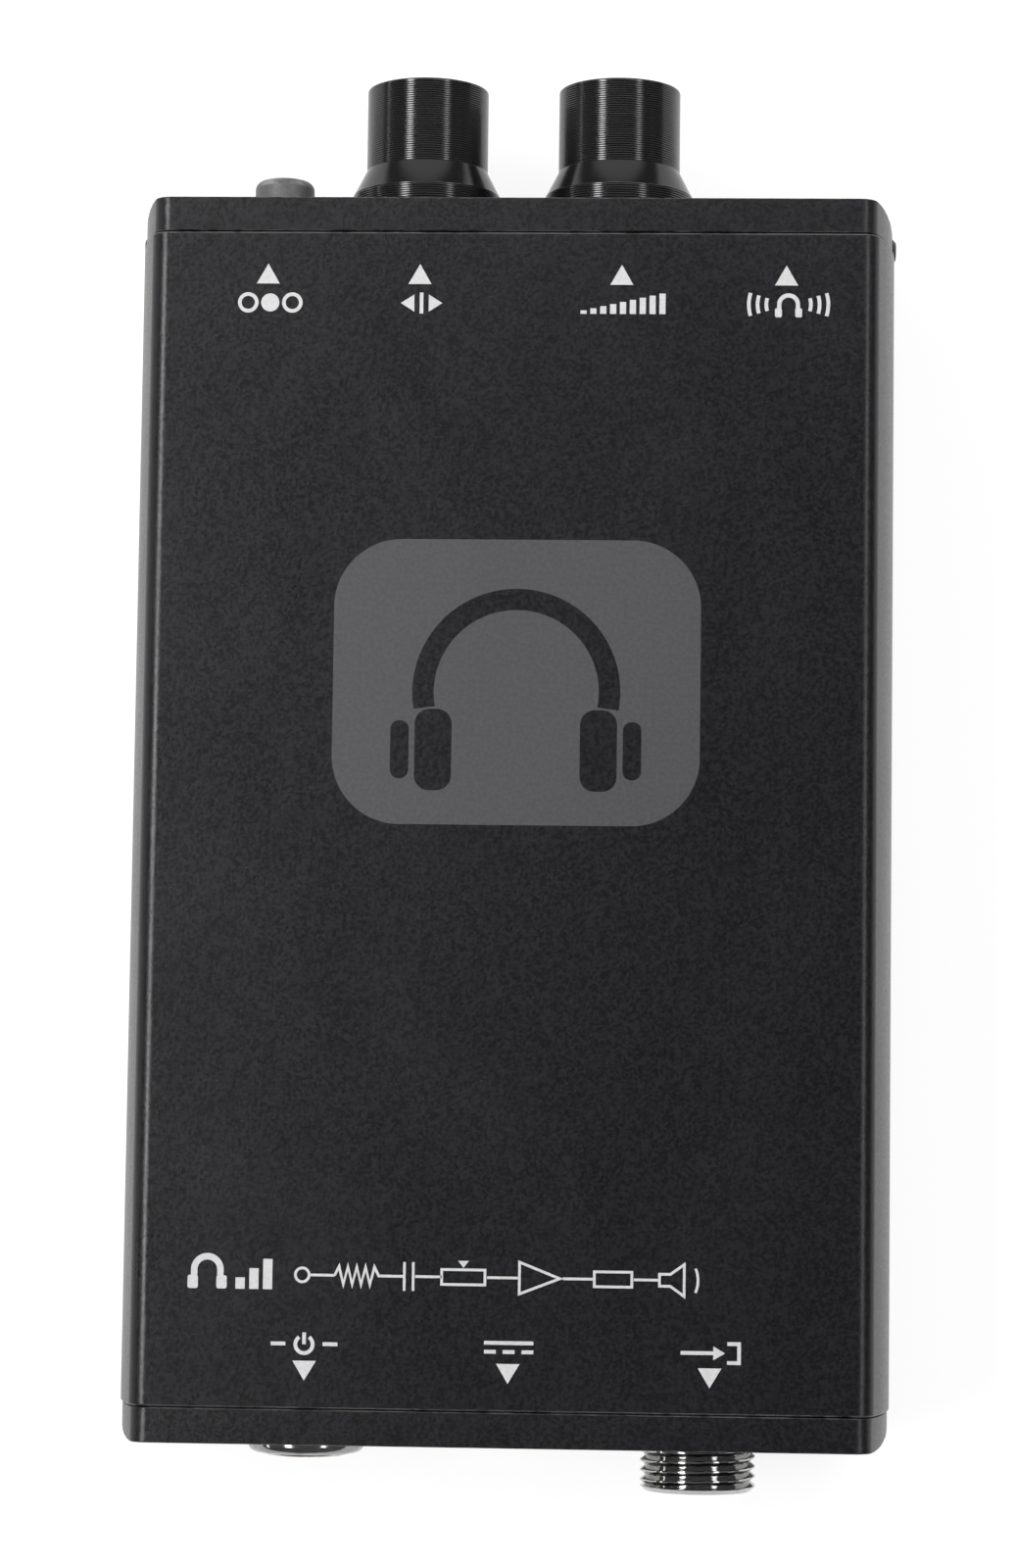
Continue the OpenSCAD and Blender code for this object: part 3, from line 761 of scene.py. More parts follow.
@dataclass
class BrokenEdges:
    """A CAD solid with its sharp edges broken, as a real part has them.

    Attributes:
        node: The CAD node.
        width: Width of the broken edge.
        steps: Faces across it.
        sharp: Only edges above this many degrees are broken.
        flat: Faces that meet at less than this many degrees are joined first.
    """

    node: str
    width: float = 0.18 * MM
    steps: int = 3
    sharp: float = 40.0
    flat: float = 0.4

    def build(self, name: str) -> bpy.types.Object:
        """Copies the node's mesh, cleans it and rounds its edges.

        Args:
            name: The new piece's name.

        Returns:
            The piece, with an attribute "edge" that is 1 along the rounded edges.
        """
        work = bmesh.new()
        work.from_mesh(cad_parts[self.node].data)
        bmesh.ops.remove_doubles(work, verts=work.verts, dist=0.2 * HAIR)
        bmesh.ops.dissolve_limit(
            work,
            angle_limit=math.radians(self.flat),
            verts=work.verts,
            edges=work.edges,
            use_dissolve_boundaries=False,
        )
        sharp = math.radians(self.sharp)
        rims = {
            edge
            for edge in work.edges
            if len(edge.link_faces) == 2 and edge.is_convex and edge.calc_face_angle() > sharp
        }
        cramped = {vert for edge in rims for vert in edge.verts if self.cramped(vert, rims)}
        rims = [edge for edge in work.edges if edge in rims and cramped.isdisjoint(edge.verts)]
        made = bmesh.ops.bevel(
            work,
            geom=rims,
            offset=self.width,
            offset_type="OFFSET",
            segments=self.steps,
            profile=0.5,
            affect="EDGES",
            clamp_overlap=False,
            material=-1,
        )
        rounded = set(made["faces"])
        layer = work.verts.layers.float.new("edge")
        for face in rounded:
            for vert in face.verts:
                if all(near in rounded for near in vert.link_faces):
                    vert[layer] = 1.0
        piece = shade(worked_object(name, work), angle=30.0, recalculate=False)
        weighted = piece.modifiers.new("weighted", "WEIGHTED_NORMAL")
        weighted.keep_sharp = True
        weighted.weight = 100
        return settle(piece)

    def cramped(self, vert: bmesh.types.BMVert, rims: set[bmesh.types.BMEdge]) -> bool:
        """Tells whether a point has too little room round it for a broken edge.

        Args:
            vert: The point.
            rims: The edges that are to be broken.

        Returns:
            True if a plain edge there is short, or a short rim turns a corner.
        """
        room, short_rim, straight = 2 * self.width, 1.5 * self.width, math.radians(150.0)
        if any(edge not in rims and edge.calc_length() < room for edge in vert.link_edges):
            return True
        ways = [edge.other_vert(vert).co - vert.co for edge in vert.link_edges if edge in rims]
        turns = (first.angle(second) for place, first in enumerate(ways) for second in ways[:place])
        return any(way.length < short_rim for way in ways) and any(turn < straight for turn in turns)


# ------------------------------------------------------------------ turned parts

BEND_STEPS = 6
TAPER_POINTS = 3
SCREW_SIDES = 40


@dataclass(frozen=True)
class Corner:
    """One corner of a turned part's half outline.

    Attributes:
        radius: Distance from the axis.
        along: Distance along the axis.
        round: Radius that the corner is rounded to.
        carved: Whether the run from here to the next corner carries grooves.
    """

    radius: float
    along: float
    round: float = 0.0
    carved: bool = False


class Outline:
    """The half outline of a turned part, ready for the turning tree."""

    def __init__(self, corners: Sequence[Corner], step: float) -> None:
        """Traces the corners.

        Args:
            corners: The outline's corners in order, a closed loop if the first and the last agree.
            step: Spacing of the points along carved runs.
        """
        self.points: list[Vector] = []
        self.carve: list[float] = []
        self.edge: list[float] = []
        bends = [self.bend(corners, place) for place in range(len(corners))]
        for place, bend in enumerate(bends):
            for count, point in enumerate(bend):
                inner = 0 < count < len(bend) - 1
                self.add(point, 0.0, 1.0 if inner else 0.0)
            if corners[place].carved:
                self.carved_run(bend[-1], bends[place + 1][0], step)

    @staticmethod
    def bend(corners: Sequence[Corner], place: int) -> list[Vector]:
        """Rounds one corner.

        Args:
            corners: All the corners.
            place: Which one to round.

        Returns:
            The points that stand for it.
        """
        corner = corners[place]
        here = Vector((corner.radius, corner.along))
        if not corner.round or place in (0, len(corners) - 1):
            return [here]
        sides = [
            (Vector((corners[place + turn].radius, corners[place + turn].along)) - here).normalized()
            for turn in (-1, 1)
        ]
        half = sides[0].angle(sides[1]) / 2
        centre = here + (sides[0] + sides[1]).normalized() * corner.round / math.sin(half)
        ends = [here + side * corner.round / math.tan(half) - centre for side in sides]
        spokes = [ends[0].lerp(ends[1], count / BEND_STEPS).normalized() for count in range(BEND_STEPS + 1)]
        return [centre + spoke * corner.round for spoke in spokes]

    def add(self, point: Vector, carve: float, edge: float) -> None:
        """Adds a point.

        Args:
            point: Its radius and its distance along the axis.
            carve: How deep grooves are cut there, from 0 to 1.
            edge: 1 on a rounded edge.
        """
        self.points.append(point)
        self.carve.append(carve)
        self.edge.append(edge)

    def carved_run(self, start: Vector, stop: Vector, step: float) -> None:
        """Fills a straight run with points for grooves.

        Args:
            start: The run's first point, already added.
            stop: The run's last point, added by the next corner.
            step: Spacing of the points.
        """
        low, high = sorted((start.y / step, stop.y / step))
        marks = [mark * step for mark in range(math.ceil(low + 0.5), math.floor(high - 0.5) + 1)]
        if stop.y < start.y:
            marks.reverse()
        for place, mark in enumerate(marks, 1):
            taper = min(place, len(marks) + 1 - place, TAPER_POINTS) / TAPER_POINTS
            self.add(start.lerp(stop, (mark - start.y) / (stop.y - start.y)), taper, 0.0)

    def mesh(self, name: str) -> bpy.types.Mesh:
        """Makes the outline a mesh with the attributes "carve" and "edge".

        Args:
            name: The mesh's name.

        Returns:
            The mesh.
        """
        made = point_mesh(name, [point.to_3d() for point in self.points])
        for label, values in (("carve", self.carve), ("edge", self.edge)):
            made.attributes.new(label, "FLOAT", "POINT").data.foreach_set("value", values)
        return made


def end_tree(graph: Graph, given: bpy.types.Node, result: bpy.types.Node, last: bpy.types.Node) -> None:
    """Ends a geometry tree: real geometry with the material that was given.

    Args:
        graph: The tree's graph.
        given: Its input node, with a "Material" output.
        result: Its output node.
        last: The node that gives the finished geometry.
    """
    real = graph.node("GeometryNodeRealizeInstances", {"Geometry": last.outputs[0]})
    terms = {"Geometry": real.outputs[0], "Material": given.outputs["Material"]}
    graph.feed(result.inputs["Geometry"], graph.node("GeometryNodeSetMaterial", terms).outputs[0])


def turning_tree() -> bpy.types.NodeTree:
    """Builds the tree that spins an outline round an axis along Y and cuts grooves or a thread.

    Returns:
        The geometry tree.
    """
    tree, graph, given, result = open_group(
        "turned_part",
        "GeometryNodeTree",
        {
            "Geometry": ("Geometry", None),
            "Centre": ("Vector", None),
            "Segments": ("Int", 96),
            "Pitch": ("Float", 1 * MM),
            "Depth": ("Float", 0.0),
            "Width": ("Float", 0.5),
            "Starts": ("Int", 0),
            "Material": ("Material", None),
        },
        {"Geometry": "Geometry"},
    )
    count = graph.node("GeometryNodeAttributeDomainSize", {"Geometry": given.outputs["Geometry"]}).outputs[0]
    rows = graph.math("ADD", given.outputs["Segments"], 1)
    grid = graph.node("GeometryNodeMeshGrid", {"Vertices X": count, "Vertices Y": rows}).outputs["Mesh"]
    index = graph.node("GeometryNodeInputIndex").outputs[0]
    place = graph.math("FLOOR", graph.math("DIVIDE", graph.math("ADD", index, 0.5), rows))
    turn = graph.math("SUBTRACT", index, graph.math("MULTIPLY", place, rows))
    share = graph.math("DIVIDE", turn, given.outputs["Segments"])

    def sampled(kind: str, value: Socket) -> Socket:
        """Reads a value at the outline's point for this row."""
        terms = {"Geometry": given.outputs["Geometry"], "Value": value, "Index": place}
        return graph.node("GeometryNodeSampleIndex", terms, data_type=kind, domain="POINT").outputs[0]

    def named(label: str) -> Socket:
        """Reads a named attribute."""
        return graph.node("GeometryNodeInputNamedAttribute", {"Name": label}, data_type="FLOAT").outputs[0]

    position = graph.node("GeometryNodeInputPosition").outputs[0]
    spot = graph.node("ShaderNodeSeparateXYZ", {0: sampled("FLOAT_VECTOR", position)})
    lead = graph.math("MULTIPLY", share, given.outputs["Starts"])
    turns = graph.math("DIVIDE", spot.outputs[1], given.outputs["Pitch"])
    phase = graph.math("FRACT", graph.math("SUBTRACT", turns, lead))
    flank = graph.math("ABSOLUTE", graph.math("MULTIPLY_ADD", phase, 2.0, -1.0))
    terms = dict(enumerate((flank, 0.0, given.outputs["Width"], 1.0, 0.0)))
    cut = graph.node("ShaderNodeMapRange", terms, clamp=True).outputs[0]
    carved = graph.math("MULTIPLY", cut, sampled("FLOAT", named("carve")))
    depth = graph.math("MULTIPLY", carved, given.outputs["Depth"])
    radius = graph.math("SUBTRACT", spot.outputs[0], depth)
    angle = graph.math("MULTIPLY", share, math.tau)
    around = graph.node(
        "ShaderNodeCombineXYZ",
        {
            0: graph.math("MULTIPLY", radius, graph.math("SINE", angle)),
            1: spot.outputs[1],
            2: graph.math("MULTIPLY", radius, graph.math("COSINE", angle)),
        },
    ).outputs[0]
    terms = {"Geometry": grid, "Name": "edge", "Value": sampled("FLOAT", named("edge"))}
    edge = graph.node("GeometryNodeStoreNamedAttribute", terms, data_type="FLOAT", domain="POINT")
    moved = graph.node(
        "GeometryNodeSetPosition",
        {"Geometry": edge.outputs[0], "Position": graph.vector("ADD", around, given.outputs["Centre"])},
    )
    terms = {"Geometry": moved.outputs[0], "Distance": 0.05 * HAIR}
    merged = graph.node("GeometryNodeMergeByDistance", terms)
    end_tree(graph, given, result, merged)
    return tree


def screw_tree() -> bpy.types.NodeTree:
    """Builds the tree that puts a cross-recessed screw at each point, facing along the attribute "facing".

    Returns:
        The geometry tree.
    """
    tree, graph, given, result = open_group(
        "screw_set",
        "GeometryNodeTree",
        {
            "Geometry": ("Geometry", None),
            "Head Radius": ("Float", 2.3 * MM),
            "Head Height": ("Float", 1.2 * MM),
            "Shank Radius": ("Float", 1.2 * MM),
            "Shank Length": ("Float", 6 * MM),
            "Seed": ("Int", 3),
            "Material": ("Material", None),
        },
        {"Geometry": "Geometry"},
    )
    crown_share, crown_top, slot_width, slot_length = 0.45, 0.72, 0.26, 1.15
    radius, height = given.outputs["Head Radius"], given.outputs["Head Height"]
    back = graph.math("MULTIPLY", height, -1.0)

    def lifted(mesh: Socket, lift: object, turn: float = 0.0) -> Socket:
        """Moves a mesh along its axis and turns it round the axis.

        Args:
            mesh: The mesh.
            lift: How far it moves.
            turn: How far it turns, in radians.

        Returns:
            The moved mesh's socket.
        """
        shift = graph.node("ShaderNodeCombineXYZ", {2: lift}).outputs[0]
        terms = {"Geometry": mesh, "Translation": shift, "Rotation": (0.0, 0.0, turn)}
        return graph.node("GeometryNodeTransform", terms).outputs[0]

    def frustum(low: object, high: object, deep: object) -> Socket:
        """Makes a tapered drum from 0 up."""
        values = {"Vertices": SCREW_SIDES, "Radius Bottom": low, "Radius Top": high, "Depth": deep}
        return graph.node("GeometryNodeMeshCone", values).outputs["Mesh"]

    rim = graph.math("MULTIPLY", height, crown_share)
    belt = lifted(frustum(radius, radius, graph.math("SUBTRACT", height, rim)), back)
    top = graph.math("MULTIPLY", radius, crown_top)
    crown = lifted(frustum(radius, top, rim), graph.math("MULTIPLY", rim, -1.0))
    thin, long = given.outputs["Shank Radius"], given.outputs["Shank Length"]
    drop = graph.math("SUBTRACT", back, graph.math("SUBTRACT", long, HAIR))
    shank = lifted(frustum(thin, thin, long), drop)
    whole = graph.node("GeometryNodeMeshBoolean", operation="UNION", solver="MANIFOLD")
    for part in (belt, crown, shank):
        graph.tree.links.new(part, whole.inputs["Mesh 2"])
    wide, far = (graph.math("MULTIPLY", radius, share) for share in (slot_width, slot_length))
    size = graph.node("ShaderNodeCombineXYZ", {0: wide, 1: far, 2: height}).outputs[0]
    terms = {"Mesh 1": whole.outputs[0]}
    cross = graph.node("GeometryNodeMeshBoolean", terms, operation="DIFFERENCE", solver="MANIFOLD")
    for turn in (0.0, math.pi / 2):
        slot = graph.node("GeometryNodeMeshCube", {"Size": size}).outputs["Mesh"]
        graph.tree.links.new(lifted(slot, 0.0, turn), cross.inputs["Mesh 2"])
    facing = graph.node("GeometryNodeInputNamedAttribute", {"Name": "facing"}, data_type="FLOAT_VECTOR")
    aimed = graph.node("FunctionNodeAlignRotationToVector", {"Vector": facing.outputs[0]}, axis="Z")
    roll = graph.node("FunctionNodeRandomValue", {"Seed": given.outputs["Seed"]}, data_type="FLOAT")
    for socket in roll.inputs:
        if socket.name in ("Min", "Max") and socket.type == "VALUE" and socket.enabled:
            socket.default_value = math.pi / 2 if socket.name == "Max" else 0.0
    drawn = next(socket for socket in roll.outputs if socket.enabled)
    rolled = graph.node("FunctionNodeAxisAngleToRotation", {"Axis": (0.0, 0.0, 1.0), "Angle": drawn})
    terms = {0: aimed.outputs[0], 1: rolled.outputs[0]}
    turned = graph.node("FunctionNodeRotateRotation", terms, rotation_space="LOCAL")
    spread = graph.node(
        "GeometryNodeInstanceOnPoints",
        {"Points": given.outputs["Geometry"], "Instance": cross.outputs[0], "Rotation": turned.outputs[0]},
    )
    end_tree(graph, given, result, spread)
    return tree


TURNING = turning_tree()
SCREWS = screw_tree()


@dataclass
class Turned:
    """A part turned on a lathe, with its axis along Y.

    Attributes:
        node: The CAD node that it stands for.
        finish: Its finish.
        corners: Its half outline.
        centre: A point on its axis.
        pitch: Spacing of grooves along carved runs.
        depth: Their depth.
        width: Their width as a share of the spacing.
        starts: 1 for a right-handed thread, 0 for plain grooves.
        rings: Points along one pitch of a carved run.
        segments: Faces round the axis.
    """

    node: str
    finish: Finish
    corners: Sequence[Corner]
    centre: Vector
    pitch: float = 1 * MM
    depth: float = 0.0
    width: float = 0.5
    starts: int = 0
    rings: int = 5
    segments: int = 96

    def build(self) -> bpy.types.Object:
        """Turns the part.

        Returns:
            The piece.
        """
        outline = Outline(self.corners, self.pitch / self.rings)
        values = {
            "Centre": tuple(self.centre),
            "Segments": self.segments,
            "Pitch": self.pitch,
            "Depth": self.depth,
            "Width": self.width,
            "Starts": self.starts,
            "Material": self.finish.material(),
        }
        name = "looks_" + self.node
        return shade(run_tree(name, outline.mesh(name), TURNING, values))

    def fit(self, body: Body) -> bpy.types.Object:
        """Turns the part and dresses it in its CAD node's place.

        Args:
            body: The CAD body that it moves with.

        Returns:
            The dressed piece.
        """
        return dress(self.build(), self.finish, body, [self.node])


@dataclass
class ScrewSet:
    """Cross-recessed screws that share one size.

    Attributes:
        name: The piece's name.
        heads: Middle of each head's face.
        facing: The way each head faces.
        head_radius: The heads' radius.
        head_height: Their height.
        shank_radius: The shanks' radius.
        shank_length: Their length.
        seed: Settles how far each screw is turned in.
    """

    name: str
    heads: Sequence[Vector]
    facing: Sequence[Vector]
    head_radius: float
    head_height: float
    shank_radius: float
    shank_length: float
    seed: int = 3

    def build(self, finish: Finish) -> bpy.types.Object:
        """Makes the screws.

        Args:
            finish: Their finish.

        Returns:
            The piece.
        """
        points = point_mesh(self.name, self.heads)
        field = points.attributes.new("facing", "FLOAT_VECTOR", "POINT")
        field.data.foreach_set("vector", [part for way in self.facing for part in way])
        values = {
            "Head Radius": self.head_radius,
            "Head Height": self.head_height,
            "Shank Radius": self.shank_radius,
            "Shank Length": self.shank_length,
            "Seed": self.seed,
            "Material": finish.material(),
        }
        return shade(run_tree(self.name, points, SCREWS, values))


# ------------------------------------------------------------------ controls and sockets


@dataclass
class Place:
    """Where the CAD model puts a round fitting.

    Attributes:
        centre: A point on its axis, at y = 0.
        radius: Its largest radius.
        back: Its lowest y.
        front: Its highest y.
    """

    centre: Vector
    radius: float
    back: float
    front: float

    @classmethod
    def of(cls, node: str) -> "Place":
        """Reads a node's box.

        Args:
            node: The CAD node, a turned part with its axis along Y.

        Returns:
            Its place.
        """
        low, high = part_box(node)
        middle = (low + high) / 2
        return cls(Vector((middle.x, 0.0, middle.z)), (high.x - low.x) / 2, low.y, high.y)


@dataclass
class TurnKnob:
    """A gloss knob with a skirt, a cone and a grip with turned lines.

    Attributes:
        body: The body that it turns with.
        grip_radius: Radius of the grip.
        skirt: Height of the skirt.
        cone: Height of the cone above it.
        rim: Radius of the rim's rounding.
        dish: Depth of the turned face inside the rim.
        dish_radius: Radius of that face.
        hollow: Radius of the hollow under the skirt.
        socket_depth: Depth of the hollow's inner step.
        step: Width of that step.
        hollow_slant: Height of the slant at the hollow's far end.
        shaft: Radius of the shaft's hole.
        roof: Thickness of the face over the shaft.
        skirt_rounds: Rounding of the skirt's lower and upper rim.
        dish_round: Rounding of the dish's rim.
        line_pitch: Spacing of the turned lines.
        line_depth: Their depth.
        line_width: Their width as a share of the spacing.
    """

    body: Body
    grip_radius: float = 6.5 * MM
    skirt: float = 2.4 * MM
    cone: float = 2.7 * MM
    rim: float = 0.2 * MM
    dish: float = 0.22 * MM
    dish_radius: float = 5.7 * MM
    hollow: float = 6.9 * MM
    socket_depth: float = 3.7 * MM
    step: float = 1 * MM
    hollow_slant: float = 0.4 * MM
    shaft: float = 3.02 * MM
    roof: float = 1.5 * MM
    skirt_rounds: Point = (0.15 * MM, 0.2 * MM)
    dish_round: float = 0.08 * MM
    line_pitch: float = 0.24 * MM
    line_depth: float = 0.045 * MM
    line_width: float = 0.42

    def build(self) -> list[bpy.types.Object]:
        """Turns the knob.

        Returns:
            The piece, in a list.
        """
        node = self.body.value + "_knob"
        place = Place.of(node)
        base, tip = place.back, place.front
        inner, floor, shoulder = self.hollow - self.step, base + self.socket_depth, base + self.skirt
        corners = [
            Corner(self.shaft, floor),
            Corner(inner, floor),
            Corner(inner, shoulder),
            Corner(self.hollow, shoulder - self.hollow_slant),
            Corner(self.hollow, base),
            Corner(place.radius, base, round=self.skirt_rounds[0], carved=True),
            Corner(place.radius, shoulder, round=self.skirt_rounds[1]),
            Corner(self.grip_radius, shoulder + self.cone, carved=True),
            Corner(self.grip_radius, tip, round=self.rim),
            Corner(self.dish_radius, tip, round=self.dish_round),
            Corner(self.dish_radius, tip - self.dish, round=self.dish_round),
            Corner(0.0, tip - self.dish),
            Corner(0.0, tip - self.roof),
            Corner(self.shaft, tip - self.roof),
            Corner(self.shaft, floor),
        ]
        knob = Turned(
            node,
            KNOB_GLOSS,
            corners,
            place.centre,
            pitch=self.line_pitch,
            depth=self.line_depth,
            width=self.line_width,
            rings=8,
        )
        return [knob.fit(self.body)]


@dataclass
class PushButtons:
    """The grey mono button and the bright power button in its bezel.

    Attributes:
        tip_round: Rounding of the mono button's tip.
        flange: Thickness of its hidden flange.
        shoulder: Radius of its visible shank.
        bezel_round: Rounding of the bezel's outer rim.
        bezel_bore: Radius of the bezel's bore.
        barrel: Radius of the bezel's threaded barrel.
        panel: The end cap's face along Y.
        floor: Thickness of the bezel's inner floor.
        stem_hole: Radius of the hole in that floor.
        mouth_round: Rounding of the bezel's inner rim.
        dish: Depth of the power button's dish.
        dish_shares: Radii where the dish ends and the rim starts, as shares of the button's.
        dish_rounds: Rounding at those radii and at the button's front edge.
        soft: Rounding of the edges that don't show.
    """

    tip_round: float = 0.9 * MM
    flange: float = 1.2 * MM
    shoulder: float = 3.175 * MM
    bezel_round: float = 0.9 * MM
    bezel_bore: float = 4.45 * MM
    barrel: float = 5.1 * MM
    panel: float = -64.3 * MM
    floor: float = 1 * MM
    stem_hole: float = 1.65 * MM
    mouth_round: float = 0.35 * MM
    dish: float = 0.18 * MM
    dish_shares: Point = (0.72, 0.86)
    dish_rounds: tuple[float, float, float] = (0.6 * MM, 0.3 * MM, 0.25 * MM)
    soft: float = 0.1 * MM

    def build(self) -> list[bpy.types.Object]:
        """Makes the buttons and the bezel.

        Returns:
            The pieces.
        """
        return [self.mono(), self.bezel(), self.power()]

    def mono(self) -> bpy.types.Object:
        """Turns the mono button.

        Returns:
            The piece.
        """
        place = Place.of("mono_button")
        corners = [
            Corner(0.0, place.back),
            Corner(place.radius, place.back, round=self.soft),
            Corner(place.radius, place.back + self.flange, round=self.soft),
            Corner(self.shoulder, place.back + self.flange),
            Corner(self.shoulder, place.front, round=self.tip_round),
            Corner(0.0, place.front),
        ]
        return Turned("mono_button", BUTTON_GREY, corners, place.centre).fit(Body.MONO)

    def bezel(self) -> bpy.types.Object:
        """Turns the power button's domed bezel.

        Returns:
            The piece.
        """
        place = Place.of("power_bezel")
        floor = place.front - self.floor
        corners = [
            Corner(self.bezel_bore, floor),
            Corner(self.bezel_bore, place.back, round=self.mouth_round),
            Corner(place.radius, place.back, round=self.bezel_round),
            Corner(place.radius, self.panel),
            Corner(self.barrel, self.panel, carved=True),
            Corner(self.barrel, place.front),
            Corner(self.stem_hole, place.front),
            Corner(self.stem_hole, floor),
            Corner(self.bezel_bore, floor),
        ]
        bezel = Turned(
            "power_bezel",
            DARK_NICKEL,
            corners,
            place.centre,
            pitch=0.5 * MM,
            depth=0.2 * MM,
            width=0.9,
            starts=1,
            rings=8,
        )
        return bezel.fit(Body.CASE)

    def power(self) -> bpy.types.Object:
        """Turns the power button with its shallow dish.

        Returns:
            The piece.
        """
        place = Place.of("power_button")
        dish = place.back + self.dish
        corners = [
            Corner(0.0, dish),
            Corner(place.radius * self.dish_shares[0], dish, round=self.dish_rounds[0]),
            Corner(place.radius * self.dish_shares[1], place.back, round=self.dish_rounds[1]),
            Corner(place.radius, place.back, round=self.dish_rounds[2]),
            Corner(place.radius, place.front, round=self.soft),
            Corner(0.0, place.front),
        ]
        return Turned("power_button", SATIN_NICKEL, corners, place.centre).fit(Body.POWER)


@dataclass
class InputConnector:
    """The threaded input connector's shell.

    Attributes:
        bore: Radius of its mouth.
        neck: Radius of the plain neck by the panel.
        thread: Radius over the thread.
        pitch: The thread's pitch.
        depth: The thread's depth.
        neck_end: Where the thread starts along Y.
        panel_back: The panel's inner face along Y.
        flange: Thickness of the flange behind the panel.
        tail: Radius of the tail behind it.
        key: Width and depth of the key slot.
        key_length: Length of the tool that cuts it; four fifths of it reach into the mouth.
        key_root: How far the tool reaches inside the bore.
        lead_in: Width and height of the thread's first slant.
        neck_slant: Length of the slant at the thread's end.
        mouth_round: Rounding of the mouth's inner rim.
        tip_round: Rounding of its outer rim.
        soft: Rounding of the edges that don't show.
    """

    bore: float = 4.7 * MM
    neck: float = 5.55 * MM
    thread: float = 6.0 * MM
    pitch: float = 1.0 * MM
    depth: float = 0.52 * MM
    neck_end: float = -65.0 * MM
    panel_back: float = -62.45 * MM
    flange: float = 1.5 * MM
    tail: float = 5.6 * MM
    key: Point = (1.5 * MM, 0.6 * MM)
    key_length: float = 5 * MM
    key_root: float = 1 * MM
    lead_in: float = 0.45 * MM
    neck_slant: float = 0.1 * MM
    mouth_round: float = 0.15 * MM
    tip_round: float = 0.08 * MM
    soft: float = 0.1 * MM

    def build(self) -> list[bpy.types.Object]:
        """Turns the shell, cuts its thread and its key slot.

        Returns:
            The piece, in a list.
        """
        place = Place.of("input_connector_shell")
        tip, back = place.back, place.front
        flange_back = self.panel_back + self.flange
        corners = [
            Corner(self.bore, back),
            Corner(self.bore, tip, round=self.mouth_round),
            Corner(self.thread - self.lead_in, tip, round=self.tip_round),
            Corner(self.thread, tip + self.lead_in, carved=True),
            Corner(self.thread, self.neck_end),
            Corner(self.neck, self.neck_end + self.neck_slant),
            Corner(self.neck, self.panel_back),
            Corner(place.radius, self.panel_back, round=self.soft),
            Corner(place.radius, flange_back, round=self.soft),
            Corner(self.tail, flange_back),
            Corner(self.tail, back, round=self.soft),
            Corner(self.bore, back),
        ]
        shell = Turned(
            "input_connector_shell",
            BRIGHT_NICKEL,
            corners,
            place.centre,
            pitch=self.pitch,
            depth=self.depth,
            width=0.85,
            starts=1,
            rings=20,
            segments=144,
        ).build()
        self.cut_key(shell, place.centre, tip)
        return [dress(shade(shell), BRIGHT_NICKEL, Body.CASE, ["input_connector_shell"])]

    def cut_key(self, shell: bpy.types.Object, centre: Vector, tip: float) -> None:
        """Cuts the key slot at the top of the mouth.

        Args:
            shell: The shell to cut.
            centre: A point on its axis.
            tip: Its front face along Y.
        """
        work = bmesh.new()
        bmesh.ops.create_cube(work, size=1.0)
        width, rise = self.key
        size = (width, self.key_length, self.key_root + rise)
        middle = centre + Vector((0.0, tip + 0.3 * self.key_length, self.bore - self.key_root + size[2] / 2))
        bmesh.ops.transform(work, matrix=Matrix.LocRotScale(middle, None, Vector(size)), verts=work.verts)
        cutter = worked_object("key_cutter", work)
        slot = shell.modifiers.new("key", "BOOLEAN")
        slot.operation = "DIFFERENCE"
        slot.solver = "MANIFOLD"
        slot.object = cutter
        settle(shell)
        bpy.data.objects.remove(cutter)


@dataclass
class PhonesSocket:
    """The bright collar round the phones socket.

    Attributes:
        bore: Radius inside the collar.
        lip: Rounding of its rim.
    """

    bore: float = 2.95 * MM
    lip: float = 0.18 * MM

    def build(self) -> list[bpy.types.Object]:
        """Turns the collar.

        Returns:
            The piece, in a list.
        """
        place = Place.of("phones_collar")
        corners = [
            Corner(self.bore, place.back),
            Corner(place.radius, place.back),
            Corner(place.radius, place.front, round=self.lip),
            Corner(self.bore, place.front, round=self.lip / 2),
            Corner(self.bore, place.back),
        ]
        return [Turned("phones_collar", SATIN_NICKEL, corners, place.centre).fit(Body.CASE)]


# ------------------------------------------------------------------ case


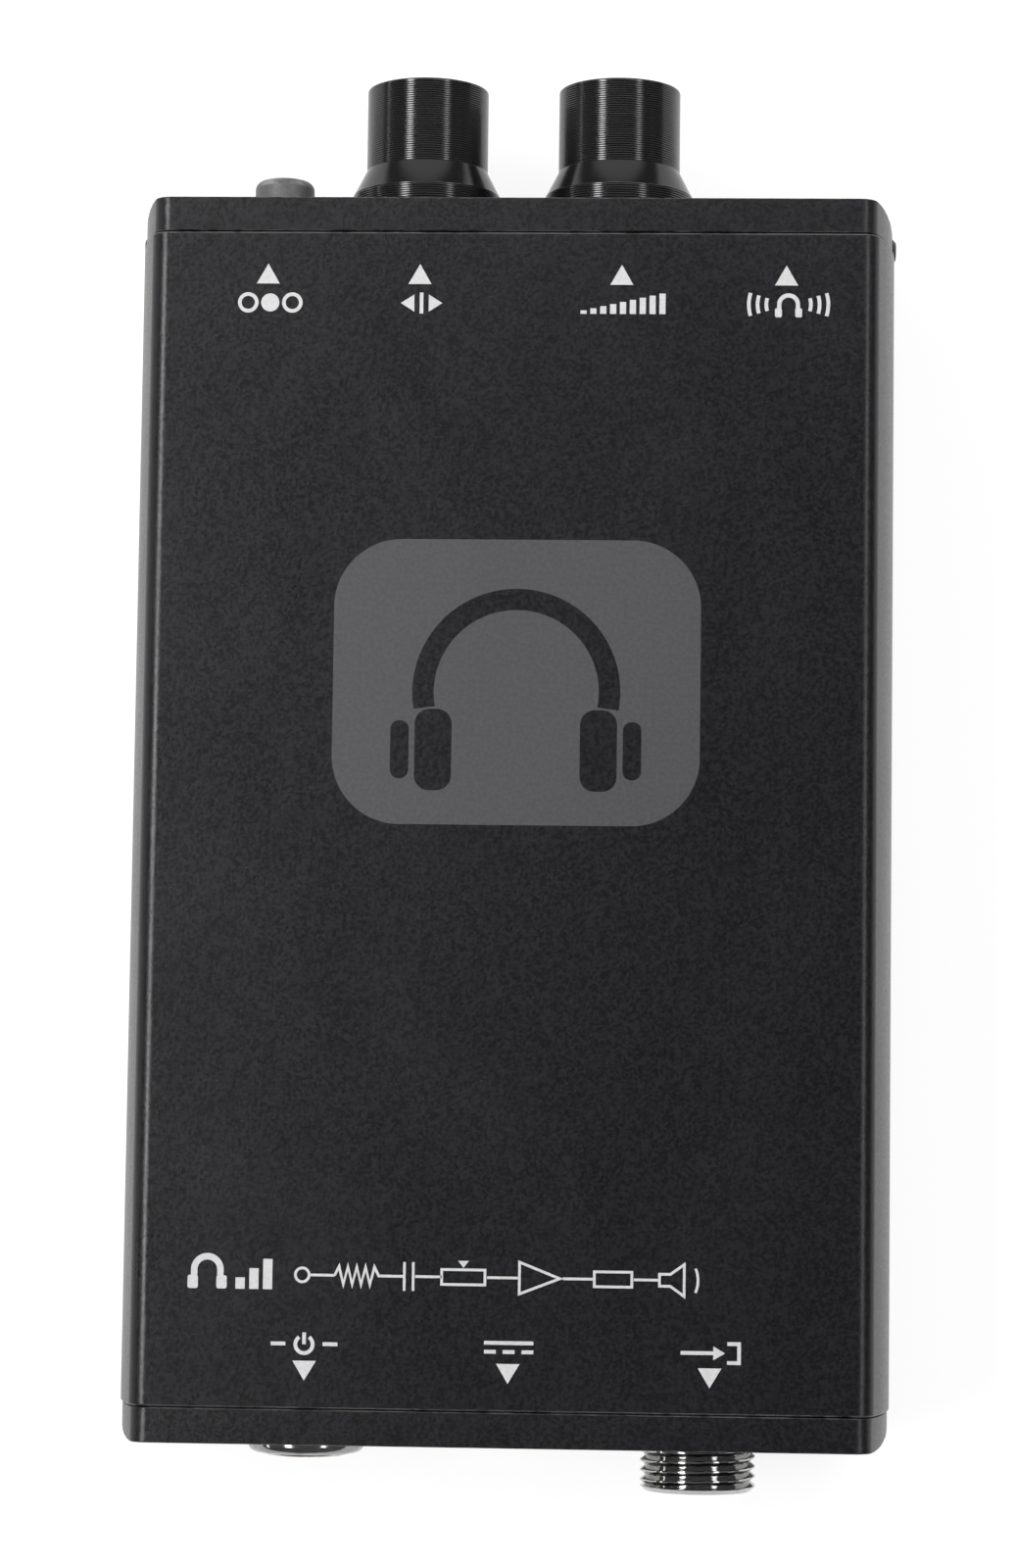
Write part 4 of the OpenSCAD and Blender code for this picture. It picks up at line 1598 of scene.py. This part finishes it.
@dataclass
class CaseShell:
    """The two covers, the end caps, the battery door and every visible screw.

    Attributes:
        cover_edge: Width of the covers' broken edges.
        cap_edge: Width of the caps' broken edges.
        cap_head: Radius of a cap screw's head.
        side_head: Radius of a side screw's head.
        board_head: Radius of a board screw's head.
    """

    cover_edge: float = 0.18 * MM
    cap_edge: float = 0.15 * MM
    cap_head: float = 2.35 * MM
    side_head: float = 1.3 * MM
    board_head: float = 1.9 * MM

    def build(self) -> list[bpy.types.Object]:
        """Makes the shells and the screws.

        Returns:
            The pieces.
        """
        return self.shells() + self.screws()

    def shells(self) -> list[bpy.types.Object]:
        """Makes the covers, the caps and the door.

        Returns:
            The pieces.
        """
        plan = [
            ("upper_cover", self.cover_edge, CASE_COAT, Body.CASE, Slot.CASE),
            ("lower_cover", self.cover_edge, CASE_COAT, Body.CASE, Slot.CASE),
            ("knob_end_cap", self.cap_edge, CAP_COAT, Body.CASE, Slot.CAP),
            ("input_end_cap", self.cap_edge, CAP_COAT, Body.CASE, Slot.CAP),
            ("battery_door", self.cap_edge, CAP_COAT, Body.DOOR, Slot.CAP),
        ]
        made = []
        for node, width, finish, body, slot in plan:
            piece = BrokenEdges(node, width).build("looks_" + node)
            made.append(dress(piece, finish, body, [node]))
        return made

    def screws(self) -> list[bpy.types.Object]:
        """Makes the screws of the caps, the sides and the board.

        Returns:
            The pieces.
        """
        low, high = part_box("cap_screws")
        rows = [(x, y) for x in (low.x + self.cap_head, high.x - self.cap_head) for y in (low.y, high.y)]
        level = (low.z + high.z) / 2
        cap = ScrewSet(
            "looks_cap_screws",
            [Vector((x, y, level)) for x, y in rows],
            [Vector((0.0, math.copysign(1.0, y), 0.0)) for _, y in rows],
            head_radius=self.cap_head,
            head_height=1.25 * MM,
            shank_radius=1.2 * MM,
            shank_length=8.6 * MM,
            seed=5,
        ).build(BLACK_OXIDE)
        low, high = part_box("side_screws")
        along, level = (low.y + high.y) / 2, (low.z + high.z) / 2
        side = ScrewSet(
            "looks_side_screws",
            [Vector((x, along, level)) for x in (low.x, high.x)],
            [Vector((math.copysign(1.0, x), 0.0, 0.0)) for x in (low.x, high.x)],
            head_radius=self.side_head,
            head_height=0.7 * MM,
            shank_radius=0.75 * MM,
            shank_length=2.4 * MM,
            seed=11,
        ).build(BLACK_OXIDE)
        low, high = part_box("board_screws")
        inset, head_height = self.board_head, 1.3 * MM
        corners = [(x, y) for x in (low.x + inset, high.x - inset) for y in (low.y + inset, high.y - inset)]
        board = ScrewSet(
            "looks_board_screws",
            [Vector((x, y, high.z)) for x, y in corners],
            [Vector((0.0, 0.0, 1.0))] * len(corners),
            head_radius=self.board_head,
            head_height=head_height,
            shank_radius=1 * MM,
            shank_length=high.z - low.z - head_height,
            seed=2,
        ).build(SATIN_NICKEL)
        return [
            dress(cap, BLACK_OXIDE, Body.CASE, ["cap_screws"]),
            dress(side, BLACK_OXIDE, Body.CASE, ["side_screws"]),
            dress(board, SATIN_NICKEL, Body.CASE, ["board_screws"]),
        ]


# ------------------------------------------------------------------ ink


LEAST_MITRE = 0.3
DISC_SIDES = 32
ARC_STEP = 5
LEAST_STEPS = 6


def round_points(
    centre: Point, radius: float, start: float, stop: float, steps: int, closed: bool = False
) -> list[Point]:
    """Puts points along a circle.

    Args:
        centre: The circle's centre.
        radius: Its radius.
        start: Where the points start, in degrees from +X.
        stop: Where they stop, in degrees.
        steps: How many steps lie between.
        closed: Whether the last point is left out, because it would fall on the first.

    Returns:
        The points.
    """
    places = range(steps if closed else steps + 1)
    turns = [math.radians(start + (stop - start) * step / steps) for step in places]
    return [(centre[0] + radius * math.cos(turn), centre[1] + radius * math.sin(turn)) for turn in turns]


class Ink:
    """Flat shapes printed on the top face, as one thin closed mesh."""

    def __init__(self, name: str, finish: Finish, level: float, lift: float = 0.012 * MM) -> None:
        """Starts an empty print.

        Args:
            name: The piece's name.
            finish: The ink.
            level: Height of the printed face.
            lift: Thickness of the ink.
        """
        self.name = name
        self.finish = finish
        self.level = level
        self.lift = lift
        self.shapes: list[list[Point]] = []

    def area(self, *points: Point) -> None:
        """Adds a filled shape.

        Args:
            *points: Its corners in millimetres.
        """
        self.shapes.append(list(points))

    def stroke(self, points: Sequence[Point], width: float, closed: bool = False) -> None:
        """Adds a line with mitred corners.

        Args:
            points: The line's points in millimetres.
            width: The line's width in millimetres.
            closed: Whether the last point joins the first.
        """
        spots = [Vector(point) for point in points]
        count = len(spots)
        rails = []
        for place, spot in enumerate(spots):
            before = spots[place - 1] if closed or place else None
            after = spots[(place + 1) % count] if closed or place < count - 1 else None
            ways = [end - start for start, end in ((before, spot), (spot, after)) if start and end]
            arms = [way.normalized() for way in ways]
            along = sum(arms, Vector((0.0, 0.0))).normalized()
            across = Vector((-along.y, along.x))
            reach = width / 2 / max(along.dot(arms[0]), LEAST_MITRE)
            rails.append((spot + across * reach, spot - across * reach))
        for place in range(count if closed else count - 1):
            near, far = rails[place], rails[(place + 1) % count]
            self.area(tuple(near[0]), tuple(near[1]), tuple(far[1]), tuple(far[0]))

    def arc(
        self, centre: Point, radius: float, width: float, start: float = 0.0, stop: float = 360.0
    ) -> None:
        """Adds a bent line.

        Args:
            centre: The arc's centre in millimetres.
            radius: Its middle radius in millimetres.
            width: Its width in millimetres.
            start: Where it starts, in degrees from +X.
            stop: Where it stops, in degrees.
        """
        whole = abs(stop - start) >= 360
        steps = max(int(abs(stop - start) / ARC_STEP), LEAST_STEPS)
        self.stroke(round_points(centre, radius, start, stop, steps, whole), width, closed=whole)

    def disc(self, centre: Point, radius: float) -> None:
        """Adds a filled disc.

        Args:
            centre: Its centre in millimetres.
            radius: Its radius in millimetres.
        """
        self.area(*round_points(centre, radius, 0.0, 360.0, DISC_SIDES, closed=True))

    def plate(self, low: Point, high: Point, corner: float = 0.0) -> None:
        """Adds a filled rectangle.

        Args:
            low: Its lower left corner in millimetres.
            high: Its upper right corner in millimetres.
            corner: Radius of its corners in millimetres.
        """
        if not corner:
            self.area(low, (high[0], low[1]), high, (low[0], high[1]))
            return
        ends = [
            (high[0] - corner, high[1] - corner, 0),
            (low[0] + corner, high[1] - corner, 90),
            (low[0] + corner, low[1] + corner, 180),
            (high[0] - corner, low[1] + corner, 270),
        ]
        steps = max(LEAST_STEPS, int(4 * corner))
        rounds = [round_points((x, y), corner, start, start + 90, steps) for x, y, start in ends]
        self.area(*[point for bend in rounds for point in bend])

    def build(self) -> bpy.types.Object:
        """Makes the print.

        Returns:
            The piece.
        """
        work = bmesh.new()
        for shape in self.shapes:
            corners = [work.verts.new((x * MM, y * MM, self.level + self.lift)) for x, y in shape]
            work.faces.new(corners)
        bmesh.ops.remove_doubles(work, verts=work.verts, dist=0.2 * HAIR)
        sunk = bmesh.ops.extrude_face_region(work, geom=work.faces[:])
        lowered = [item for item in sunk["geom"] if isinstance(item, bmesh.types.BMVert)]
        bmesh.ops.translate(work, vec=(0.0, 0.0, -2 * self.lift), verts=lowered)
        bmesh.ops.recalc_face_normals(work, faces=work.faces)
        return dress(worked_object(self.name, work), self.finish, Body.CASE)


def headphones(ink: Ink, centre: Point, size: float, band: float) -> None:
    """Draws a pair of headphones.

    Args:
        ink: The print to draw in.
        centre: The middle of the drawing in millimetres.
        size: Half its width in millimetres.
        band: Width of the band's line in millimetres.
    """
    x, y = centre
    radius, inwards, corner = size - band, 0.2 * size, 0.12 * size
    pad_top, pad_foot = y - 0.28 * size, y - 0.95 * size
    ink.arc((x, y), radius, band, 0.0, 180.0)
    for side in (-1, 1):
        pad = x + side * radius
        ink.stroke([(pad, y), (pad, pad_top)], band)
        low, high = sorted((pad - side * inwards, pad + side * band))
        ink.plate((low, pad_foot), (high, pad_top), corner)


@dataclass
class TopPrint:
    """Everything printed on the top face: pictograms only, no lettering.

    Attributes:
        line: Width of the legends' lines in millimetres.
        thin: Width of the thin drawing's lines in millimetres.
        marker: Half width of the small triangles in millimetres.
    """

    line: float = 0.38
    thin: float = 0.27
    marker: float = 1.2

    def build(self) -> list[bpy.types.Object]:
        """Makes the three prints.

        Returns:
            The pieces.
        """
        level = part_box("upper_cover")[1].z
        legends = Ink("print_legends", LEGEND_WHITE, level)
        half, base, tip = self.marker, 55.1, 57.2
        for x in (-25.55, -9.74, 11.21, 28.23):
            legends.area((x - half, base), (x + half, base), (x, tip))
        base, tip = -55.8, -57.8
        for x, drop in ((-19.86, 0.0), (0.83, 0.0), (21.24, 0.12)):
            legends.area((x - half, base - drop), (x, tip - drop), (x + half, base - drop))
        self.knob_end(legends)
        self.input_end(legends)
        title = Ink("print_title", LEGEND_WHITE, level)
        headphones(title, (-29.9, -46.75), 2.0, 0.66)
        for step in range(3):
            x = -27.0 + 1.4 * step
            title.plate((x, -48.65), (x + 0.95, -47.5 + 0.95 * step))
        self.signal_chain(title)
        emblem = Ink("print_emblem", EMBLEM_GREY, level)
        emblem.plate((-18.1, -1.1), (19.7, 28.4), 7.0)
        sign = Ink("print_emblem_sign", CASE_COAT, level + emblem.lift)
        self.sign(sign)
        return [legends.build(), title.build(), emblem.build(), sign.build()]

    def knob_end(self, ink: Ink) -> None:
        """Draws the legends of the mono button, the knobs and the phones socket.

        Args:
            ink: The print to draw in.
        """
        line, row = self.line, 53.1
        mono, pan, volume, phones = -25.3, -9.55, 6.95, 28.45
        for side in (-1, 1):
            ink.arc((mono + side * 2.3, row), 0.88, line)
        ink.disc((mono, row), 0.95)
        for side in (-1, 1):
            ink.area((pan + side * 2.15, row), (pan + side * 0.75, row + 0.9), (pan + side * 0.75, row - 0.9))
        ink.stroke([(pan, row - 1.1), (pan, row + 1.1)], line)
        for step in range(9):
            x = volume + step * 1.02
            ink.plate((x, row - 1.05), (x + 0.64, row - 0.7 + step * 0.225))
        headphones(ink, (phones, row), 1.4, 1.15 * line)
        for facing in (180.0, 0.0):
            for radius in (2.3, 3.2, 4.1):
                ink.arc((phones, row), radius, line, facing - 17.0, facing + 17.0)

    def input_end(self, ink: Ink) -> None:
        """Draws the legends of the power button, the supply socket and the input.

        Args:
            ink: The print to draw in.
        """
        line, power, row = self.line, -19.9, -54.15
        ink.arc((power, row), 0.88, line, 125.0, 415.0)
        ink.stroke([(power, row), (power, row + 1.2)], line)
        for side in (-1, 1):
            ink.stroke([(power + side * 3.4, row + 0.05), (power + side * 1.9, row + 0.05)], line)
        ink.stroke([(-1.6, -53.7), (3.4, -53.7)], line)
        for x in (-1.6, 0.3, 2.2):
            ink.stroke([(x, -54.6), (x + 1.2, -54.6)], line)
        ink.stroke([(18.3, -54.4), (21.6, -54.4)], line)
        ink.area((21.6, -53.7), (21.6, -55.1), (22.8, -54.4))
        ink.stroke([(23.0, -53.45), (24.2, -53.45), (24.2, -55.35), (23.0, -55.35)], line)

    def box(self, ink: Ink, low: Point, high: Point) -> None:
        """Draws an empty rectangle with thin lines.

        Args:
            ink: The print to draw in.
            low: Its lower left corner in millimetres.
            high: Its upper right corner in millimetres.
        """
        ink.stroke([low, (high[0], low[1]), high, (low[0], high[1])], self.thin, closed=True)

    def signal_chain(self, ink: Ink) -> None:
        """Draws the way from the input through the amplifier to the phones, as in a circuit diagram.

        Args:
            ink: The print to draw in.
        """
        line, y = self.thin, -47.15
        ink.arc((-20.2, y), 0.7, line)
        ink.stroke([(-19.4, y), (-16.9, y)], line)
        zigzag = [(-16.9 + 0.45 * step, y + (0.9 if step % 2 else -0.9)) for step in range(1, 10)]
        ink.stroke([(-16.9, y), *zigzag, (-12.4, y), (-9.9, y)], line)
        for x in (-9.8, -8.9):
            ink.stroke([(x, y - 1.45), (x, y + 1.45)], line)
        ink.stroke([(-8.7, y), (-6.0, y)], line)
        self.box(ink, (-6.0, y - 0.75), (-1.6, y + 0.75))
        ink.area((-3.8, y + 0.95), (-3.25, y + 1.65), (-4.35, y + 1.65))
        ink.stroke([(-1.4, y), (1.8, y)], line)
        ink.stroke([(1.9, y - 1.6), (6.0, y), (1.9, y + 1.6)], line, closed=True)
        ink.stroke([(6.3, y), (9.4, y)], line)
        self.box(ink, (9.5, y - 0.75), (13.3, y + 0.75))
        ink.stroke([(13.5, y), (16.0, y)], line)
        lower = [(16.1, y - 0.6), (17.2, y - 0.6), (18.6, y - 1.6)]
        upper = [(18.6, y + 1.6), (17.2, y + 0.6), (16.1, y + 0.6)]
        ink.stroke([*lower, *upper], line, closed=True)
        ink.arc((17.0, y), 3.0, line, -24.0, 24.0)

    @staticmethod
    def sign(ink: Ink) -> None:
        """Draws the headphones that stand dark in the grey emblem.

        Args:
            ink: The print to draw in.
        """
        x, y = 0.8, 12.6
        ink.arc((x, y), 9.6, 2.2, -10.0, 190.0)
        for side in (-1, 1):
            low, high = sorted((x + side * 6.6, x + side * 10.4))
            ink.plate((low, y - 10.2), (high, y - 1.8), 1.5)
            low, high = sorted((x + side * 11.0, x + side * 12.9))
            ink.plate((low, y - 9.0), (high, y - 3.0), 0.9)


# ------------------------------------------------------------------ inside


PAINTED = {
    "battery_tray": NYLON,
    "battery_leads": LEAD_RED,
    "circuit_board": SOLDER_MASK,
    "op_amps": EPOXY,
    "electrolytic_capacitors": SLEEVE,
    "film_capacitors": FILM_BOX,
    "voltage_regulator": EPOXY,
    "resistors": EPOXY,
    "pan_pot": POT_STEEL,
    "volume_pot": POT_STEEL,
    "pot_washers": SATIN_NICKEL,
    "pot_nuts": SATIN_NICKEL,
    "pan_shaft": SATIN_NICKEL,
    "volume_shaft": SATIN_NICKEL,
    "pan_pointer": LEGEND_WHITE,
    "volume_pointer": LEGEND_WHITE,
    "mono_plunger": NYLON,
    "mono_switch": SOCKET_BLACK,
    "power_nut": SATIN_NICKEL,
    "power_stem": NYLON,
    "power_switch": SOCKET_BLACK,
    "phones_contacts": GOLD_FLASH,
    "dc_jack_pin": GOLD_FLASH,
    "input_contacts": GOLD_FLASH,
}


@dataclass
class Inside:
    """The battery, the socket mouldings and everything on the board.

    Attributes:
        can_edge: Rounding of the battery's can.
        moulded_edge: Rounding of the socket mouldings.
    """

    can_edge: float = 0.9 * MM
    moulded_edge: float = 0.12 * MM

    def build(self) -> list[bpy.types.Object]:
        """Rounds the parts that show through an opening and paints the others.

        Returns:
            The rounded pieces.
        """
        for node, finish in PAINTED.items():
            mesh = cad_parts[node].data
            mesh.materials.clear()
            mesh.materials.append(finish.material())
            LOG.info("%s: painted %s", node, finish.name)
        plan = [
            ("battery", self.can_edge, BATTERY_JACKET, Slot.BATTERY),
            ("battery_snap", self.moulded_edge, SOCKET_BLACK, Slot.INNER),
            ("phones_jack", self.moulded_edge, SOCKET_BLACK, Slot.INNER),
            ("dc_jack", self.moulded_edge, SOCKET_BLACK, Slot.INNER),
            ("input_insert", self.moulded_edge, SOCKET_BLACK, Slot.INNER),
        ]
        return [
            dress(BrokenEdges(node, width).build("looks_" + node), finish, Body.CASE, [node])
            for node, width, finish, slot in plan
        ]


# ------------------------------------------------------------------ studio


@dataclass(frozen=True)
class StripLight:
    """A long soft light, parallel to Y.

    Attributes:
        name: The object's name.
        lean: Its angle from straight up, positive towards +X, in degrees.
        spread: How wide it looks from the object, in degrees.
        radiance: Its brightness.
        soft: How much of its width fades out, from 0 to 1.
        half_length: Half its length.
        shift: How far its middle lies along Y.
        distance: Its distance from the object.
    """

    name: str
    lean: float
    spread: float
    radiance: float
    soft: float = 0.4
    half_length: float = 0.45
    shift: float = 0.0
    distance: float = 0.7

    def build(self) -> bpy.types.Object:
        """Hangs the light.

        Returns:
            The light's panel.
        """
        half = self.distance * math.tan(math.radians(self.spread / 2))
        turn = Matrix.Rotation(math.radians(self.lean), 4, "Y")
        ends = ((-half, -1), (-half, 1), (half, 1), (half, -1))
        spots = [(x, side * self.half_length + self.shift, self.distance) for x, side in ends]
        corners = [turn @ Vector(spot) for spot in spots]
        mesh = point_mesh(self.name, corners, [(0, 1, 2, 3)])
        across = mesh.attributes.new("across", "FLOAT", "POINT")
        across.data.foreach_set("value", [-1.0, -1.0, 1.0, 1.0])
        panel = new_object(self.name, mesh)
        mesh.materials.append(self.glow())
        panel.visible_camera = False
        LOG.info("%s: %.0f degrees wide, leaning %.0f degrees", self.name, self.spread, self.lean)
        return panel

    def glow(self) -> bpy.types.Material:
        """Makes the panel's light, fading towards its long edges.

        Returns:
            The material.
        """
        made, graph = open_material(self.name)
        across = graph.node("ShaderNodeAttribute", attribute_name="across").outputs["Fac"]
        fade = graph.span(graph.math("ABSOLUTE", across), 1.0 - self.soft, 1.0, self.radiance, 0.0)
        light = graph.node("ShaderNodeEmission", {"Strength": fade})
        graph.node("ShaderNodeOutputMaterial", {"Surface": light.outputs[0]})
        return made


@dataclass(frozen=True)
class BackPanel(StripLight):
    """A large dim panel beyond the knobs, parallel to X.

    Attributes:
        rise: Its angle above the floor, in degrees.
    """

    rise: float = 36.0

    def build(self) -> bpy.types.Object:
        """Stands the panel.

        Returns:
            The panel.
        """
        panel = super().build()
        upright = Matrix.Rotation(math.radians(-90.0), 4, "Z")
        lean = Matrix.Rotation(math.radians(self.rise - 90.0), 4, "X")
        panel.data.transform(lean @ upright)
        return panel


@dataclass
class Studio:
    """The white floor, the strip lights, the grey surroundings and the camera.

    Attributes:
        floor_half: Half the floor's width.
        floor_glow: Light that the floor gives by itself.
        floor_white: The floor's colour.
        fibre: Size of the fibres in the floor's paper.
        fibre_tone: How far they change its colour.
        surround: Brightness of the surroundings.
        eye: Where the camera stands.
        aim: The camera's turns about X, Y and Z in degrees.
        lens: The camera's focal length in millimetres.
        sensor: The longer side of its sensor in millimetres.
        reach: The nearest and the farthest distance that it sees.
    """

    floor_half: float = 1.5
    floor_glow: float = 0.87
    floor_white: float = 0.2
    fibre: float = 1.5 * MM
    fibre_tone: float = 0.01
    surround: float = 0.15
    eye: Vector = Vector((16.81 * MM, -29.98 * MM, 418.1 * MM))
    aim: tuple[float, float, float] = (4.853, 2.394, 0.753)
    lens: float = 88.19
    sensor: float = 36.0
    reach: Point = (0.01, 10.0)

    def build(self) -> None:
        """Sets up the whole studio."""
        self.floor()
        self.surroundings()
        for light in (
            StripLight("key_strip", -31.0, 12.0, 18.0, soft=0.35, half_length=0.46, shift=0.2),
            StripLight("fill_strip", 38.0, 14.0, 7.0, soft=0.9, half_length=0.46, shift=0.2),
            StripLight("edge_strip", -76.0, 3.0, 7.0, soft=0.6, shift=0.1),
            BackPanel("back_panel", 0.0, 34.0, 1.1, soft=0.4, half_length=1.3),
            BackPanel("top_panel", 0.0, 20.0, 4.2, soft=0.8, half_length=0.35, shift=0.12, rise=54.0),
        ):
            light.build()
        self.camera()

    def floor(self) -> None:
        """Lays the pale floor under the case."""
        half, level = self.floor_half, -5 * HAIR
        corners = [(x, y, level) for x, y in ((-half, -half), (half, -half), (half, half), (-half, half))]
        mesh = point_mesh("floor", corners, [(0, 1, 2, 3)])
        made, graph = open_material("floor_paper")
        where = graph.node("ShaderNodeTexCoord").outputs["Object"]
        fibre = graph.noise(where, self.fibre, 4.0)
        white, swing = [self.floor_white] * 3, self.fibre_tone
        colour = graph.mix(fibre.outputs[0], opaque(white, 1 - swing), opaque(white, 1 + swing))
        shader = graph.node(
            "ShaderNodeBsdfPrincipled",
            {
                "Base Color": colour,
                "Roughness": 0.9,
                "Specular IOR Level": 0.1,
                "Emission Color": (1.0, 1.0, 1.0, 1.0),
                "Emission Strength": self.floor_glow,
            },
        )
        graph.node("ShaderNodeOutputMaterial", {"Surface": shader.outputs[0]})
        mesh.materials.append(made)
        new_object("floor", mesh)

    def surroundings(self) -> None:
        """Fills the scene with an even grey."""
        world = bpy.data.worlds.new("surroundings")
        world.use_nodes = True
        back = world.node_tree.nodes["Background"]
        back.inputs["Color"].default_value = (1.0, 1.0, 1.0, 1.0)
        back.inputs["Strength"].default_value = self.surround
        bpy.context.scene.world = world

    def camera(self) -> None:
        """Stands the camera above the case, looking down at its top face."""
        data = bpy.data.cameras.new("camera")
        data.lens = self.lens
        data.sensor_width = self.sensor
        data.clip_start, data.clip_end = self.reach
        eye = bpy.data.objects.new("camera", data)
        eye.location = self.eye
        eye.rotation_euler = [math.radians(turn) for turn in self.aim]
        bpy.context.scene.collection.objects.link(eye)
        bpy.context.scene.camera = eye
        bpy.context.scene.view_settings.view_transform = "Standard"


# ------------------------------------------------------------------ everything


def main() -> None:
    """Builds the amplifier's looks and the studio."""
    logging.basicConfig(level=logging.INFO, format="%(message)s")
    assemblies = (
        CaseShell(),
        TurnKnob(Body.PAN),
        TurnKnob(Body.VOLUME),
        PushButtons(),
        InputConnector(),
        PhonesSocket(),
        TopPrint(),
        Inside(),
    )
    pieces = [piece for assembly in assemblies for piece in assembly.build()]
    Studio().build()
    LOG.info("%d pieces built", len(pieces))


if __name__ == "__main__":
    main()
